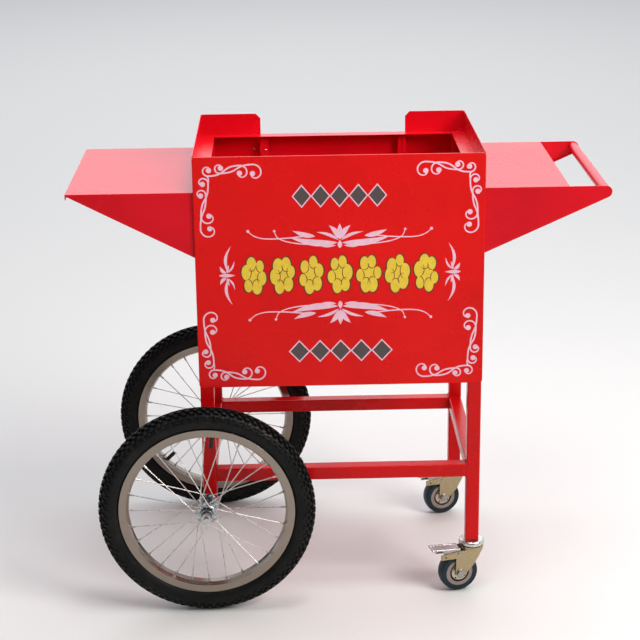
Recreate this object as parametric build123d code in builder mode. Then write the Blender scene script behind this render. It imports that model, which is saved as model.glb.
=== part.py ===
from build123d import *
import math
import os

# Popcorn cart: a folded-sheet cabinet on four square-tube legs, with a shelf on the left, a push
# handle on the right, two spoked wheels under the left end and two braked casters under the right.
# Millimetres. X runs along the cart (handle at +X), Y runs from the decorated front (-Y) to the
# door (+Y), Z is up. The origin is on the floor, under the centre of the cart.

os.makedirs("parts", exist_ok=True)

# ---------------------------------------------------------------- driving dimensions
SHEET = 1.2                 # sheet steel of the cabinet and brackets
BEND = 1.6                  # outer radius of a fold
TUBE = 25.0                 # square tube of legs and stretchers
TUBE_WALL = 1.5
TUBE_CORNER = 2.5

CABINET_WIDTH = 518.0
CABINET_DEPTH = 376.0
CABINET_TOP = 850.0
CABINET_BOTTOM = 420.0
LEDGE_TOP = 810.0           # the popcorn machine stands on this ledge, inside the rim
LEDGE_WIDTH = 27.0
CORNER_PANEL_WIDTH = 117.0  # rear panels, one each side of the door
RIM_CHAMFER = 9.0
RIM_RELIEF = 3.0
FRONT_RETURN = 10.0
FRONT_CORNER = 6.0
HEM = 8.0
JAMB_STOP = 6.0             # the jambs' edges fold in behind the door as its stops
STOP_GAP = 0.3              # from a stop to the closed door
STOP_BREAK = 5.0            # above and below the catch
FLOOR_HEIGHT = 424.0
FLOOR_FLANGE = 12.0
SILL_HEIGHT = 35.0

STRETCHER_TOP = 257.0
CASTER_LEG_BOTTOM = 103.0
WHEEL_LEG_BOTTOM = 184.0

BRACKET_TOP = 785.5         # shelf and handle bracket
BRACKET_DROP = 120.0
BRACKET_REACH = 226.0
BRACKET_DEPTH = 367.0
BRACKET_LIP = 10.0
BRACKET_HEM = 8.0
BRACKET_FLANGE = 22.0
HANDLE_TOP_LENGTH = 150.0
HANDLE_TIP_RADIUS = 11.0
HANDLE_TUBE_RADIUS = 9.5
HANDLE_TUBE_WALL = 1.5
BRACKET_BOLT_HEIGHTS = (690.0, 768.0)
BRACKET_BOLT_Y = 171.0
BOLT_RADIUS = 3.0
BOLT_HOLE_RADIUS = 3.3
BOLT_HEX = 10.0
BOLT_HEAD = 4.0
BOLT_LENGTH = 16.0
NUT_HEIGHT = 5.0

DOOR_GAP = 3.0              # at the hinge side, and the leaves fill it
DOOR_TOP_GAP = 2.0
DOOR_BOTTOM_GAP = 2.0
DOOR_PAN = 15.0
DOOR_LIP = 12.0             # down each side
KNOB_RADIUS = 13.0
KNOB_HEIGHT = 22.0
KNOB_NECK = 6.5
KNOB_CROWN = 6.0
KNOB_STUD = 8.0
KNOB_INSET = 22.0
HINGE_HEIGHT = 50.0
HINGE_KNUCKLE = 3.5
HINGE_PIN = 1.5
HINGE_PIN_HEAD = 2.7
HINGE_PIN_CLEARANCE = 0.05
HINGE_GAP = 0.3             # between the knuckles
LEAF_GAP = 0.4              # between the closed leaves
LEAF_INSET = 1.0            # from the door's inner face
HINGE_CENTRES = (506.0, 768.0)
HINGE_AXIS_OUT = 4.0        # pin centre behind the cabinet's back
RIVET_HEAD_RADIUS = 3.6
RIVET_HEAD = 1.0
RIVET_SPREAD = 15.0
CATCH_HEIGHT = 630.0
CATCH_SIZE = (20.0, 13.0, 40.0)
STRIKE_SIZE = (10.0, 1.0, 34.0)

WHEEL_RADIUS = 200.0        # 16 inch wheel
WHEEL_Y = 237.0
AXLE_OFFSET = 4.7           # the axle stands outward of the leg's middle
TYRE_WALL = 3.0
TYRE_FOOT = 153.0           # radius of the bead's foot, inside the rim
# Lines of the casing from rim to crown, as (radius, distance from its middle).
TYRE_OUTSIDE = ((162.5, 13.2), (169.0, 21.0), (178.0, 23.5), (191.0, 20.0), (197.0, 12.0))
TYRE_INSIDE = ((163.5, 10.2), (169.5, 17.6), (178.0, 20.5), (189.0, 17.0), (194.0, 10.0))
RIM_RADIUS = 162.0
RIM_INNER_RADIUS = 144.5
RIM_WIDTH = 30.0
RIM_WALL = 1.7
RIM_BASE_WALL = 2.0
RIM_STEP = 4.0              # taper at the corners of the channel
RIM_EDGE = 0.6
SPOKE_COUNT = 28
SPOKE_RADIUS = 1.0
SPOKE_CROSS = 2             # each spoke leans over two flange holes
SPOKE_HEAD_RADIUS = 1.9
SPOKE_HOLE_RADIUS = 1.25
SPOKE_CIRCLE = 16.3
SPOKE_FACE_GAP = 2.0        # spoke centre to flange face
SPOKE_SHORT = 1.0           # the thread ends inside the nipple
RIM_HOLE_OFFSET = 1.5
NIPPLE_RADIUS = 1.9
NIPPLE_BORE = 1.08
NIPPLE_LENGTH = 11.0
NIPPLE_HEAD_RADIUS = 2.7
NIPPLE_HOLE_RADIUS = 2.4
NIPPLE_SEAT = 0.8           # the head stands off the rim's inner wall
FLANGE_OFFSET = 25.0
FLANGE_RADIUS = 19.0
FLANGE_THICKNESS = 3.0
FLANGE_CHAMFER = 0.6
BARREL_RADIUS = 11.0
HUB_BORE = 6.5
HUB_END = 33.0
HUB_END_RADIUS = 13.0
CUP_RADIUS = 11.3
CUP_DEPTH = 8.5
BALL_RADIUS = 2.4
BALL_CIRCLE = 8.7
BALL_COUNT = 10
BALL_OFFSET = 27.5
CONE_NECK_RADIUS = 6.1
CONE_RADIUS = 8.0
CONE_START = 24.0
CONE_SHOULDER = 31.0
CONE_TAPER = 2.0
CONE_END = 40.0
AXLE_RADIUS = 4.75
AXLE_HOLE_RADIUS = 5.0
AXLE_NUT_HEX = 17.0
AXLE_NUT_HEIGHT = 7.0
AXLE_WASHER_RADIUS = 10.0
AXLE_WASHER = 3.0
AXLE_END = 3.0              # thread showing past the outer nut
VALVE_ANGLES = (85.0, 223.0)  # of the front and the back wheel, from +X towards +Z
VALVE_RADIUS = 4.0
VALVE_HOLE_RADIUS = 4.3
VALVE_TIP = 122.0
INNER_TUBE_RADIUS = 15.0
INNER_TUBE_CENTRE = 177.5
INNER_TUBE_WALL = 1.2

CASTER_YAW = 15.0           # both forks trail to the left and a little to the front
CASTER_RADIUS = 37.5
CASTER_TRAIL = 27.0
TREAD_WIDTH = 24.0
TREAD_INNER = 26.5
TREAD_SHOULDER = 2.2
CORE_WEB_OUTER = 19.0
CORE_WEB_HALF = 8.0
CORE_HUB_RADIUS = 9.0
CORE_HUB_HALF = 13.2
CORE_EDGE = 1.0             # the core stops short of the tread's sides
CASTER_AXLE_RADIUS = 4.0
CASTER_AXLE_END = 3.0       # thread past the nut
CASTER_BOLT_HEX = 13.0
RUNNING_CLEARANCE = 0.05
CHEEK_INNER = 14.0
CHEEK = 2.5
CHEEK_TIP = 9.0
CHEEK_TIP_START = 217.0     # where the sloping edge meets the round tip
FORK_HEAD_RADIUS = 23.0
FORK_HEAD_BOTTOM = 84.0
FORK_HEAD_TOP = 90.0
FORK_SHOULDER = -17.0       # the cheeks' outline, along the trail and in height
FORK_KNEE = (-1.5, 55.0)
FORK_BAND_BOTTOM = 69.5
FORK_BAND_TOP = 79.0
FORK_BAND_END = 66.0
RACE_RADIUS = 24.5
RACE_BOTTOM = 90.3
RACE_EDGE = 4.5
INSERT_FLANGE = 2.0
INSERT_HEIGHT = 22.0
INSERT_FIT = 0.1
STEM_RADIUS = 6.0
STEM_HEAD_RADIUS = 9.0
STEM_HEAD = 2.5
STEM_GAP = 0.3
STEM_TOP = 128.0
PEDAL_PIVOT = (30.0, 78.0)  # along the trail, and height
PEDAL_PIN_RADIUS = 2.0
PEDAL_START = 26.0
PEDAL_TIP = 82.0
PEDAL_HALF_WIDTH = 13.6
PEDAL_SHEET = 1.8
PEDAL_BASE = 84.5           # underside at its inner end
PEDAL_RISE = 3.5            # towards the tip
PEDAL_FLANGE_BOTTOM = 77.0
PEDAL_RIDGES = 4
SHOE_CENTRE = 48.0
SHOE_LENGTH = 7.0
SHOE_BOTTOM = 73.0

# ---------------------------------------------------------------- derived places
HALF_WIDTH = CABINET_WIDTH / 2
HALF_DEPTH = CABINET_DEPTH / 2
LEG_X = HALF_WIDTH - SHEET - TUBE / 2
LEG_Y = HALF_DEPTH - SHEET - TUBE / 2
LEG_TOP = LEDGE_TOP - SHEET
JAMB_X = HALF_WIDTH - CORNER_PANEL_WIDTH
JAMB_RETURN = DOOR_PAN + STOP_GAP + SHEET
DOOR_LEFT = -JAMB_X + DOOR_GAP
DOOR_RIGHT = JAMB_X - DOOR_GAP
DOOR_BOTTOM = CABINET_BOTTOM + SILL_HEIGHT + DOOR_BOTTOM_GAP
DOOR_TOP = LEG_TOP - DOOR_TOP_GAP
HINGE_X = -JAMB_X + DOOR_GAP / 2
HINGE_Y = HALF_DEPTH + HINGE_AXIS_OUT
LEAF = (DOOR_GAP - LEAF_GAP) / 2
WHEEL_X = -LEG_X - AXLE_OFFSET
RIM_MIDDLE = RIM_INNER_RADIUS + RIM_BASE_WALL / 2
TRAIL = Vector(-math.cos(math.radians(CASTER_YAW)), -math.sin(math.radians(CASTER_YAW)), 0)
LEFT = -1
RIGHT = 1
FRONT = -1
BACK = 1
SIDE_NAMES = {FRONT: "front", BACK: "back"}


def save(piece, name):
    """Label a finished piece and write it as one STEP file."""
    piece.part.label = name
    export_step(piece.part, f"parts/{name}.step")


def box(x_range, y_range, z_range, mode=Mode.ADD):
    """A block between two corners, in the open part."""
    size = [high - low for low, high in (x_range, y_range, z_range)]
    centre = tuple((high + low) / 2 for low, high in (x_range, y_range, z_range))
    with Locations(centre):
        Box(*size, mode=mode)


def span(side, near, far):
    """The range between two distances from the centre, on the side given by its sign."""
    return tuple(sorted((side * near, side * far)))


def hex_radius(across_flats):
    """Corner radius of a hexagon."""
    return across_flats / math.sqrt(3)


# ---------------------------------------------------------------- cabinet
def make_front_panel():
    """Decorated front: its sides fold back a little and its top edge is hemmed."""
    with BuildPart() as panel:
        with BuildSketch(Plane.XY.offset(CABINET_BOTTOM)):
            with Locations((0, -HALF_DEPTH + FRONT_RETURN / 2)):
                Rectangle(CABINET_WIDTH, FRONT_RETURN)
            with Locations((0, -HALF_DEPTH + FRONT_RETURN / 2 + SHEET)):
                Rectangle(CABINET_WIDTH - 2 * SHEET, FRONT_RETURN, mode=Mode.SUBTRACT)
        extrude(amount=CABINET_TOP - CABINET_BOTTOM)
        folds = panel.edges().filter_by(Axis.Z).group_by(Axis.Y)[0]
        fillet(folds, radius=BEND)
        # The lower corners are rounded, as seen from the front.
        with BuildSketch(Plane.XZ.offset(HALF_DEPTH)) as outline:
            with BuildLine():
                Polyline(
                    (-HALF_WIDTH, CABINET_TOP),
                    (-HALF_WIDTH, CABINET_BOTTOM),
                    (HALF_WIDTH, CABINET_BOTTOM),
                    (HALF_WIDTH, CABINET_TOP),
                    close=True,
                )
            make_face()
            fillet(outline.vertices().group_by(Axis.Z)[0], radius=FRONT_CORNER)
        extrude(amount=-2 * FRONT_RETURN, mode=Mode.INTERSECT)
        hem_y = -HALF_DEPTH + SHEET
        hem_half = HALF_WIDTH - 2 * SHEET
        box((-hem_half, hem_half), (hem_y, hem_y + SHEET), (CABINET_TOP - HEM, CABINET_TOP))
    save(panel, "front_panel")


def make_side_panel(side, name):
    """Flat side wall, from the front panel's return to the rear corner panel."""
    with BuildPart() as panel:
        box(
            span(side, HALF_WIDTH - SHEET, HALF_WIDTH),
            (-HALF_DEPTH + FRONT_RETURN, HALF_DEPTH - SHEET),
            (CABINET_BOTTOM, CABINET_TOP),
        )
        with BuildSketch(Plane.YZ.offset(side * HALF_WIDTH)):
            with Locations(*bracket_bolt_points()):
                Circle(BOLT_HOLE_RADIUS)
        extrude(amount=2 * SHEET, both=True, mode=Mode.SUBTRACT)
    save(panel, name)


def bracket_bolt_points():
    """Bolt places on the side wall, as (y, z)."""
    return [(y, z) for y in (-BRACKET_BOLT_Y, BRACKET_BOLT_Y) for z in BRACKET_BOLT_HEIGHTS]


def make_rear_corner_panel(side, name):
    """Rear panel beside the door: rises above the ledge, folds in as a jamb and again as a stop."""
    stop_y = HALF_DEPTH - JAMB_RETURN
    catch_reach = CATCH_SIZE[2] / 2 + STOP_BREAK
    with BuildPart() as panel:
        with BuildSketch(Plane.XZ.offset(-HALF_DEPTH)):
            with BuildLine():
                Polyline(
                    (side * JAMB_X, CABINET_BOTTOM),
                    (side * HALF_WIDTH, CABINET_BOTTOM),
                    (side * HALF_WIDTH, CABINET_TOP - RIM_RELIEF),
                    (side * (HALF_WIDTH - RIM_RELIEF), CABINET_TOP),
                    (side * (JAMB_X + RIM_CHAMFER), CABINET_TOP),
                    (side * JAMB_X, CABINET_TOP - RIM_CHAMFER),
                    close=True,
                )
            make_face()
        extrude(amount=SHEET)
        box(
            span(side, JAMB_X, JAMB_X + SHEET),
            (stop_y, HALF_DEPTH - SHEET),
            (CABINET_BOTTOM, LEG_TOP),
        )
        box(
            span(side, JAMB_X - JAMB_STOP, JAMB_X),
            (stop_y, stop_y + SHEET),
            (CABINET_BOTTOM + SILL_HEIGHT, LEG_TOP),
        )
        if side == RIGHT:
            box(
                (JAMB_X - JAMB_STOP, JAMB_X),
                (stop_y, stop_y + SHEET),
                (CATCH_HEIGHT - catch_reach, CATCH_HEIGHT + catch_reach),
                mode=Mode.SUBTRACT,
            )
    save(panel, name)


def make_rear_sill():
    """Rail under the door, folded in along its top."""
    with BuildPart() as sill:
        box(
            (-JAMB_X, JAMB_X),
            (HALF_DEPTH - SHEET, HALF_DEPTH),
            (CABINET_BOTTOM, CABINET_BOTTOM + SILL_HEIGHT),
        )
        box(
            (-JAMB_X, JAMB_X),
            (HALF_DEPTH - JAMB_RETURN, HALF_DEPTH - SHEET),
            (CABINET_BOTTOM + SILL_HEIGHT - SHEET, CABINET_BOTTOM + SILL_HEIGHT),
        )
        fold = sill.edges().filter_by(Axis.X).sort_by(Axis.Z)[-2:].sort_by(Axis.Y)[-1]
        fillet(fold, radius=BEND / 2)
    save(sill, "rear_sill")


def make_ledge_frame():
    """Flat ring inside the rim that the machine's feet stand on."""
    with BuildPart() as ledge:
        with BuildSketch(Plane.XY.offset(LEDGE_TOP)) as ring:
            Rectangle(CABINET_WIDTH - 2 * SHEET, CABINET_DEPTH - 2 * SHEET)
            Rectangle(
                CABINET_WIDTH - 2 * LEDGE_WIDTH,
                CABINET_DEPTH - 2 * LEDGE_WIDTH,
                mode=Mode.SUBTRACT,
            )
        extrude(amount=-SHEET)
    save(ledge, "ledge_frame")


def make_cabinet_floor():
    """Floor of the storage space, notched round the legs, with a flange up each side."""
    inner_half_width = HALF_WIDTH - SHEET
    inner_half_depth = HALF_DEPTH - SHEET
    notch = TUBE + SHEET
    with BuildPart() as floor:
        with BuildSketch(Plane.XY.offset(FLOOR_HEIGHT)):
            Rectangle(2 * inner_half_width, 2 * inner_half_depth)
            with GridLocations(2 * inner_half_width, 2 * inner_half_depth, 2, 2):
                Rectangle(2 * notch, 2 * notch, mode=Mode.SUBTRACT)
            for side in (LEFT, RIGHT):
                with Locations((side * (JAMB_X + SHEET / 2), inner_half_depth)):
                    Rectangle(2 * SHEET, 2 * JAMB_RETURN, mode=Mode.SUBTRACT)
        extrude(amount=SHEET)
        for side in (LEFT, RIGHT):
            box(
                span(side, inner_half_width - SHEET, inner_half_width),
                (-inner_half_depth + notch, inner_half_depth - notch),
                (FLOOR_HEIGHT, FLOOR_HEIGHT + FLOOR_FLANGE),
            )
    save(floor, "cabinet_floor")


# ---------------------------------------------------------------- frame
def make_leg(side, row, bottom, name):
    """Corner leg, from its foot to the ledge, with its bolt and axle holes."""
    with BuildPart() as leg:
        with BuildSketch(Plane.XY.offset(bottom)):
            with Locations((side * LEG_X, row * LEG_Y)):
                RectangleRounded(TUBE, TUBE, TUBE_CORNER)
                inner = TUBE - 2 * TUBE_WALL
                RectangleRounded(inner, inner, TUBE_CORNER - TUBE_WALL, mode=Mode.SUBTRACT)
        extrude(amount=LEG_TOP - bottom)
        with BuildSketch(Plane.YZ.offset(side * (LEG_X + TUBE / 2))):
            with Locations(*[(row * BRACKET_BOLT_Y, z) for z in BRACKET_BOLT_HEIGHTS]):
                Circle(BOLT_HOLE_RADIUS)
        extrude(amount=2 * TUBE_WALL, both=True, mode=Mode.SUBTRACT)
        if side == LEFT:
            with BuildSketch(Plane.XZ.offset(-row * LEG_Y)):
                with Locations((WHEEL_X, WHEEL_RADIUS)):
                    Circle(AXLE_HOLE_RADIUS)
            extrude(amount=TUBE, both=True, mode=Mode.SUBTRACT)
    save(leg, name)


def make_stretcher(plane, length, name):
    """Square tube between two legs."""
    with BuildPart() as stretcher:
        with BuildSketch(plane):
            RectangleRounded(TUBE, TUBE, TUBE_CORNER)
            inner = TUBE - 2 * TUBE_WALL
            RectangleRounded(inner, inner, TUBE_CORNER - TUBE_WALL, mode=Mode.SUBTRACT)
        extrude(amount=length / 2, both=True)
    save(stretcher, name)


def make_stretchers():
    """The ring of four stretchers, all at one height."""
    height = STRETCHER_TOP - TUBE / 2
    long_length = 2 * LEG_X - TUBE
    short_length = 2 * LEG_Y - TUBE
    for row in (FRONT, BACK):
        plane = Plane(origin=(0, row * LEG_Y, height), z_dir=(1, 0, 0))
        make_stretcher(plane, long_length, f"{SIDE_NAMES[row]}_stretcher")
    for side, name in ((LEFT, "left_stretcher"), (RIGHT, "right_stretcher")):
        plane = Plane(origin=(side * LEG_X, 0, height), x_dir=(1, 0, 0), z_dir=(0, 1, 0))
        make_stretcher(plane, short_length, name)


# ---------------------------------------------------------------- shelf and handle
def add_gusset_pair(side, outline, slope_start, slope_end):
    """Both gussets of a bracket, with a hem turned in along each sloping edge."""
    half = BRACKET_DEPTH / 2
    extrude(outline(Plane.XZ.offset(half)), amount=-SHEET)
    extrude(outline(Plane.XZ.offset(-half)), amount=SHEET)
    rise = slope_start[1] - slope_end[1]
    run = abs(slope_end[0] - slope_start[0])
    thickness = SHEET * math.hypot(rise, run) / run
    for start in (half, -half + BRACKET_HEM):
        with BuildSketch(Plane.XZ.offset(start)) as hem:
            with BuildLine():
                Polyline(
                    slope_start,
                    slope_end,
                    (slope_end[0], slope_end[1] + thickness),
                    (slope_start[0], slope_start[1] + thickness),
                    close=True,
                )
            make_face()
        extrude(hem.sketch, amount=-BRACKET_HEM)


def add_bracket_flanges(side):
    """Flanges against the cabinet, with their bolt holes."""
    half = BRACKET_DEPTH / 2
    bottom = BRACKET_TOP - BRACKET_DROP
    for row in (FRONT, BACK):
        box(
            span(side, HALF_WIDTH, HALF_WIDTH + SHEET),
            span(row, half - BRACKET_FLANGE, half),
            (bottom + 2 * SHEET, BRACKET_TOP),
        )
    box(
        span(side, HALF_WIDTH, HALF_WIDTH + SHEET),
        (-half, half),
        (BRACKET_TOP - BRACKET_LIP, BRACKET_TOP),
    )
    with BuildSketch(Plane.YZ.offset(side * HALF_WIDTH)) as holes:
        with Locations(*bracket_bolt_points()):
            Circle(BOLT_HOLE_RADIUS)
    extrude(holes.sketch, amount=2 * SHEET, both=True, mode=Mode.SUBTRACT)


def make_left_shelf():
    """Folded shelf: top, two triangular gussets, a short lip at the outer edge."""
    half = BRACKET_DEPTH / 2
    outer = -(HALF_WIDTH + BRACKET_REACH)
    bottom = BRACKET_TOP - BRACKET_DROP
    slope_start = (outer, BRACKET_TOP - 2 * SHEET)
    slope_end = (-HALF_WIDTH, bottom)

    def outline(plane):
        with BuildSketch(plane) as gusset:
            with BuildLine():
                Polyline(
                    (outer, BRACKET_TOP), slope_start, slope_end, (-HALF_WIDTH, BRACKET_TOP), close=True
                )
            make_face()
        return gusset.sketch

    with BuildPart() as shelf:
        box((outer, -HALF_WIDTH), (-half, half), (BRACKET_TOP - SHEET, BRACKET_TOP))
        box((outer, outer + SHEET), (-half, half), (BRACKET_TOP - BRACKET_LIP, BRACKET_TOP))
        add_gusset_pair(LEFT, outline, slope_start, slope_end)
        add_bracket_flanges(LEFT)
        top_edges = shelf.edges().group_by(Axis.Z)[-1]
        folds = top_edges.filter_by(Axis.X) + top_edges.filter_by(Axis.Y).sort_by(Axis.X)[:1]
        fillet(folds, radius=BEND / 2)
    save(shelf, "left_shelf")


def make_handle_bracket():
    """Folded bracket: short top, and two wedge gussets whose round tips hold the tube."""
    half = BRACKET_DEPTH / 2
    tip_x = HALF_WIDTH + BRACKET_REACH - HANDLE_TIP_RADIUS
    tip_z = BRACKET_TOP - HANDLE_TIP_RADIUS
    bottom = BRACKET_TOP - BRACKET_DROP
    top_end = HALF_WIDTH + HANDLE_TOP_LENGTH
    # The sloping edge runs from the cabinet tangent to the round tip.
    run = tip_x - HALF_WIDTH
    rise = tip_z - bottom
    lean = math.atan2(rise, run) - math.asin(HANDLE_TIP_RADIUS / math.hypot(run, rise))
    touch = (tip_x + HANDLE_TIP_RADIUS * math.sin(lean), tip_z - HANDLE_TIP_RADIUS * math.cos(lean))
    middle = lean / 2
    nose = (tip_x + HANDLE_TIP_RADIUS * math.cos(middle), tip_z + HANDLE_TIP_RADIUS * math.sin(middle))
    slope_end = (HALF_WIDTH, bottom)

    def outline(plane):
        with BuildSketch(plane) as gusset:
            with BuildLine():
                Polyline(touch, slope_end, (HALF_WIDTH, BRACKET_TOP), (tip_x, BRACKET_TOP))
                ThreePointArc((tip_x, BRACKET_TOP), nose, touch)
            make_face()
        return gusset.sketch

    with BuildPart() as bracket:
        box((HALF_WIDTH, top_end), (-half, half), (BRACKET_TOP - SHEET, BRACKET_TOP))
        box((top_end - SHEET, top_end), (-half, half), (BRACKET_TOP - BRACKET_LIP, BRACKET_TOP))
        add_gusset_pair(RIGHT, outline, touch, slope_end)
        add_bracket_flanges(RIGHT)
        top_edges = bracket.edges().group_by(Axis.Z)[-1]
        fillet(top_edges.filter_by(Axis.X).sort_by(Axis.Y)[:1], radius=BEND / 2)
        top_edges = bracket.edges().group_by(Axis.Z)[-1]
        fillet(top_edges.filter_by(Axis.X).sort_by(Axis.Y)[-1:], radius=BEND / 2)
    save(bracket, "handle_bracket")

    with BuildPart() as tube:
        with BuildSketch(Plane.XZ):
            with Locations((tip_x, tip_z)):
                Circle(HANDLE_TUBE_RADIUS)
                Circle(HANDLE_TUBE_RADIUS - HANDLE_TUBE_WALL, mode=Mode.SUBTRACT)
        extrude(amount=half - SHEET, both=True)
    save(tube, "handle_tube")


def make_bracket_fasteners():
    """Hexagon bolts through the flanges, and nuts welded inside the leg tubes."""
    head_start = HALF_WIDTH + SHEET
    nut_start = LEG_X + TUBE / 2 - TUBE_WALL
    with BuildPart() as bolts:
        for side in (LEFT, RIGHT):
            with BuildSketch(Plane.YZ.offset(side * head_start)):
                with Locations(*bracket_bolt_points()):
                    RegularPolygon(hex_radius(BOLT_HEX), 6)
            extrude(amount=side * BOLT_HEAD)
            with BuildSketch(Plane.YZ.offset(side * head_start)):
                with Locations(*bracket_bolt_points()):
                    Circle(BOLT_RADIUS)
            extrude(amount=-side * BOLT_LENGTH)
    save(bolts, "bracket_bolts")

    with BuildPart() as nuts:
        for side in (LEFT, RIGHT):
            with BuildSketch(Plane.YZ.offset(side * nut_start)):
                with Locations(*bracket_bolt_points()):
                    RegularPolygon(hex_radius(BOLT_HEX), 6)
                    Circle(BOLT_RADIUS + RUNNING_CLEARANCE, mode=Mode.SUBTRACT)
            extrude(amount=-side * NUT_HEIGHT)
    save(nuts, "bracket_nuts")


# ---------------------------------------------------------------- door
def make_rear_door():
    """Pan door, flush with the back: a face, four returns, and a lip down each side."""
    inner_y = HALF_DEPTH - DOOR_PAN
    with BuildPart() as door:
        box((DOOR_LEFT, DOOR_RIGHT), (inner_y, HALF_DEPTH), (DOOR_BOTTOM, DOOR_TOP))
        folds = door.edges().group_by(Axis.Y)[-1]
        fillet(folds, radius=BEND / 2)
        box(
            (DOOR_LEFT + SHEET, DOOR_RIGHT - SHEET),
            (inner_y + SHEET, HALF_DEPTH - SHEET),
            (DOOR_BOTTOM + SHEET, DOOR_TOP - SHEET),
            mode=Mode.SUBTRACT,
        )
        box(
            (DOOR_LEFT + DOOR_LIP, DOOR_RIGHT - DOOR_LIP),
            (inner_y - SHEET, inner_y + 2 * SHEET),
            (DOOR_BOTTOM + SHEET, DOOR_TOP - SHEET),
            mode=Mode.SUBTRACT,
        )
        with BuildSketch(Plane.XZ.offset(-HALF_DEPTH)):
            with Locations((DOOR_RIGHT - KNOB_INSET, (DOOR_BOTTOM + DOOR_TOP) / 2)):
                Circle(BOLT_HOLE_RADIUS)
        extrude(amount=2 * SHEET, mode=Mode.SUBTRACT)
    save(door, "rear_door")

    knob_plane = Plane(
        origin=(DOOR_RIGHT - KNOB_INSET, HALF_DEPTH, (DOOR_BOTTOM + DOOR_TOP) / 2), z_dir=(0, 1, 0)
    )
    with BuildPart() as knob:
        with BuildSketch(knob_plane):
            Circle(BOLT_RADIUS)
        extrude(amount=-KNOB_STUD)
        with BuildSketch(knob_plane):
            Circle(KNOB_NECK)
        extrude(amount=KNOB_HEIGHT / 2)
        with BuildSketch(knob_plane.offset(KNOB_NECK)):
            Circle(KNOB_RADIUS)
        extrude(amount=KNOB_HEIGHT - KNOB_NECK)
        rims = knob.edges().filter_by(GeomType.CIRCLE).group_by(SortBy.RADIUS)[-1].sort_by(Axis.Y)
        fillet(rims[-1], radius=KNOB_CROWN)
        fillet(rims[0], radius=KNOB_CROWN / 2)
    save(knob, "door_knob")


def add_hinge(centre, leaf_x, knuckle_slots, clear_slots):
    """One hinge leaf: plate, its knuckles, and room for the other leaf's knuckles."""
    low = centre - HINGE_HEIGHT / 2
    slot = HINGE_HEIGHT / 3
    plate_end = HALF_DEPTH - DOOR_PAN + LEAF_INSET
    box(leaf_x, (plate_end, HINGE_Y), (low, low + HINGE_HEIGHT))
    for index in clear_slots:
        edge = (low + index * slot - HINGE_GAP, low + (index + 1) * slot + HINGE_GAP)
        box((-JAMB_X, DOOR_LEFT), (HALF_DEPTH, HINGE_Y + HINGE_KNUCKLE), edge, mode=Mode.SUBTRACT)
    for index in knuckle_slots:
        with BuildSketch(Plane.XY.offset(low + index * slot)) as knuckle:
            with Locations((HINGE_X, HINGE_Y)):
                Circle(HINGE_KNUCKLE)
        extrude(knuckle.sketch, amount=slot)
    with BuildSketch(Plane.XY.offset(low)) as bore:
        with Locations((HINGE_X, HINGE_Y)):
            Circle(HINGE_PIN + HINGE_PIN_CLEARANCE)
    extrude(bore.sketch, amount=HINGE_HEIGHT, mode=Mode.SUBTRACT)


def make_hinges():
    """Two butt hinges between the left jamb and the door."""
    frame_leaf = (-JAMB_X, -JAMB_X + LEAF)
    door_leaf = (DOOR_LEFT - LEAF, DOOR_LEFT)
    with BuildPart() as frame_leaves:
        for centre in HINGE_CENTRES:
            add_hinge(centre, frame_leaf, (0, 2), (1,))
    save(frame_leaves, "hinge_frame_leaves")

    with BuildPart() as door_leaves:
        for centre in HINGE_CENTRES:
            add_hinge(centre, door_leaf, (1,), (0, 2))
        # The middle knuckle clears the outer ones above and below it.
        for centre in HINGE_CENTRES:
            for end in (-1, 1):
                face = centre + end * HINGE_HEIGHT / 6
                gap = tuple(sorted((face, face - end * HINGE_GAP)))
                box(
                    (HINGE_X - HINGE_KNUCKLE, HINGE_X + HINGE_KNUCKLE),
                    (HALF_DEPTH, HINGE_Y + HINGE_KNUCKLE),
                    gap,
                    mode=Mode.SUBTRACT,
                )
    save(door_leaves, "hinge_door_leaves")

    with BuildPart() as pins:
        for centre in HINGE_CENTRES:
            low = centre - HINGE_HEIGHT / 2
            with BuildSketch(Plane.XY.offset(low)):
                with Locations((HINGE_X, HINGE_Y)):
                    Circle(HINGE_PIN)
            extrude(amount=HINGE_HEIGHT + SHEET)
            with BuildSketch(Plane.XY.offset(low + HINGE_HEIGHT)):
                with Locations((HINGE_X, HINGE_Y)):
                    Circle(HINGE_PIN_HEAD)
            extrude(amount=SHEET)
    save(pins, "hinge_pins")


def rivet_points():
    """Rivet places on the hinge leaves, as (y, z)."""
    row_y = HALF_DEPTH - DOOR_PAN / 2
    return [(row_y, centre + end * RIVET_SPREAD) for centre in HINGE_CENTRES for end in (-1, 1)]


def make_hinge_rivets(face_x, inward, name):
    """Rivets whose heads sit on the inner side of a return, at face_x."""
    with BuildPart() as rivets:
        with BuildSketch(Plane.YZ.offset(face_x)):
            with Locations(*rivet_points()):
                Circle(RIVET_HEAD_RADIUS)
        extrude(amount=inward * RIVET_HEAD)
    save(rivets, name)


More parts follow.
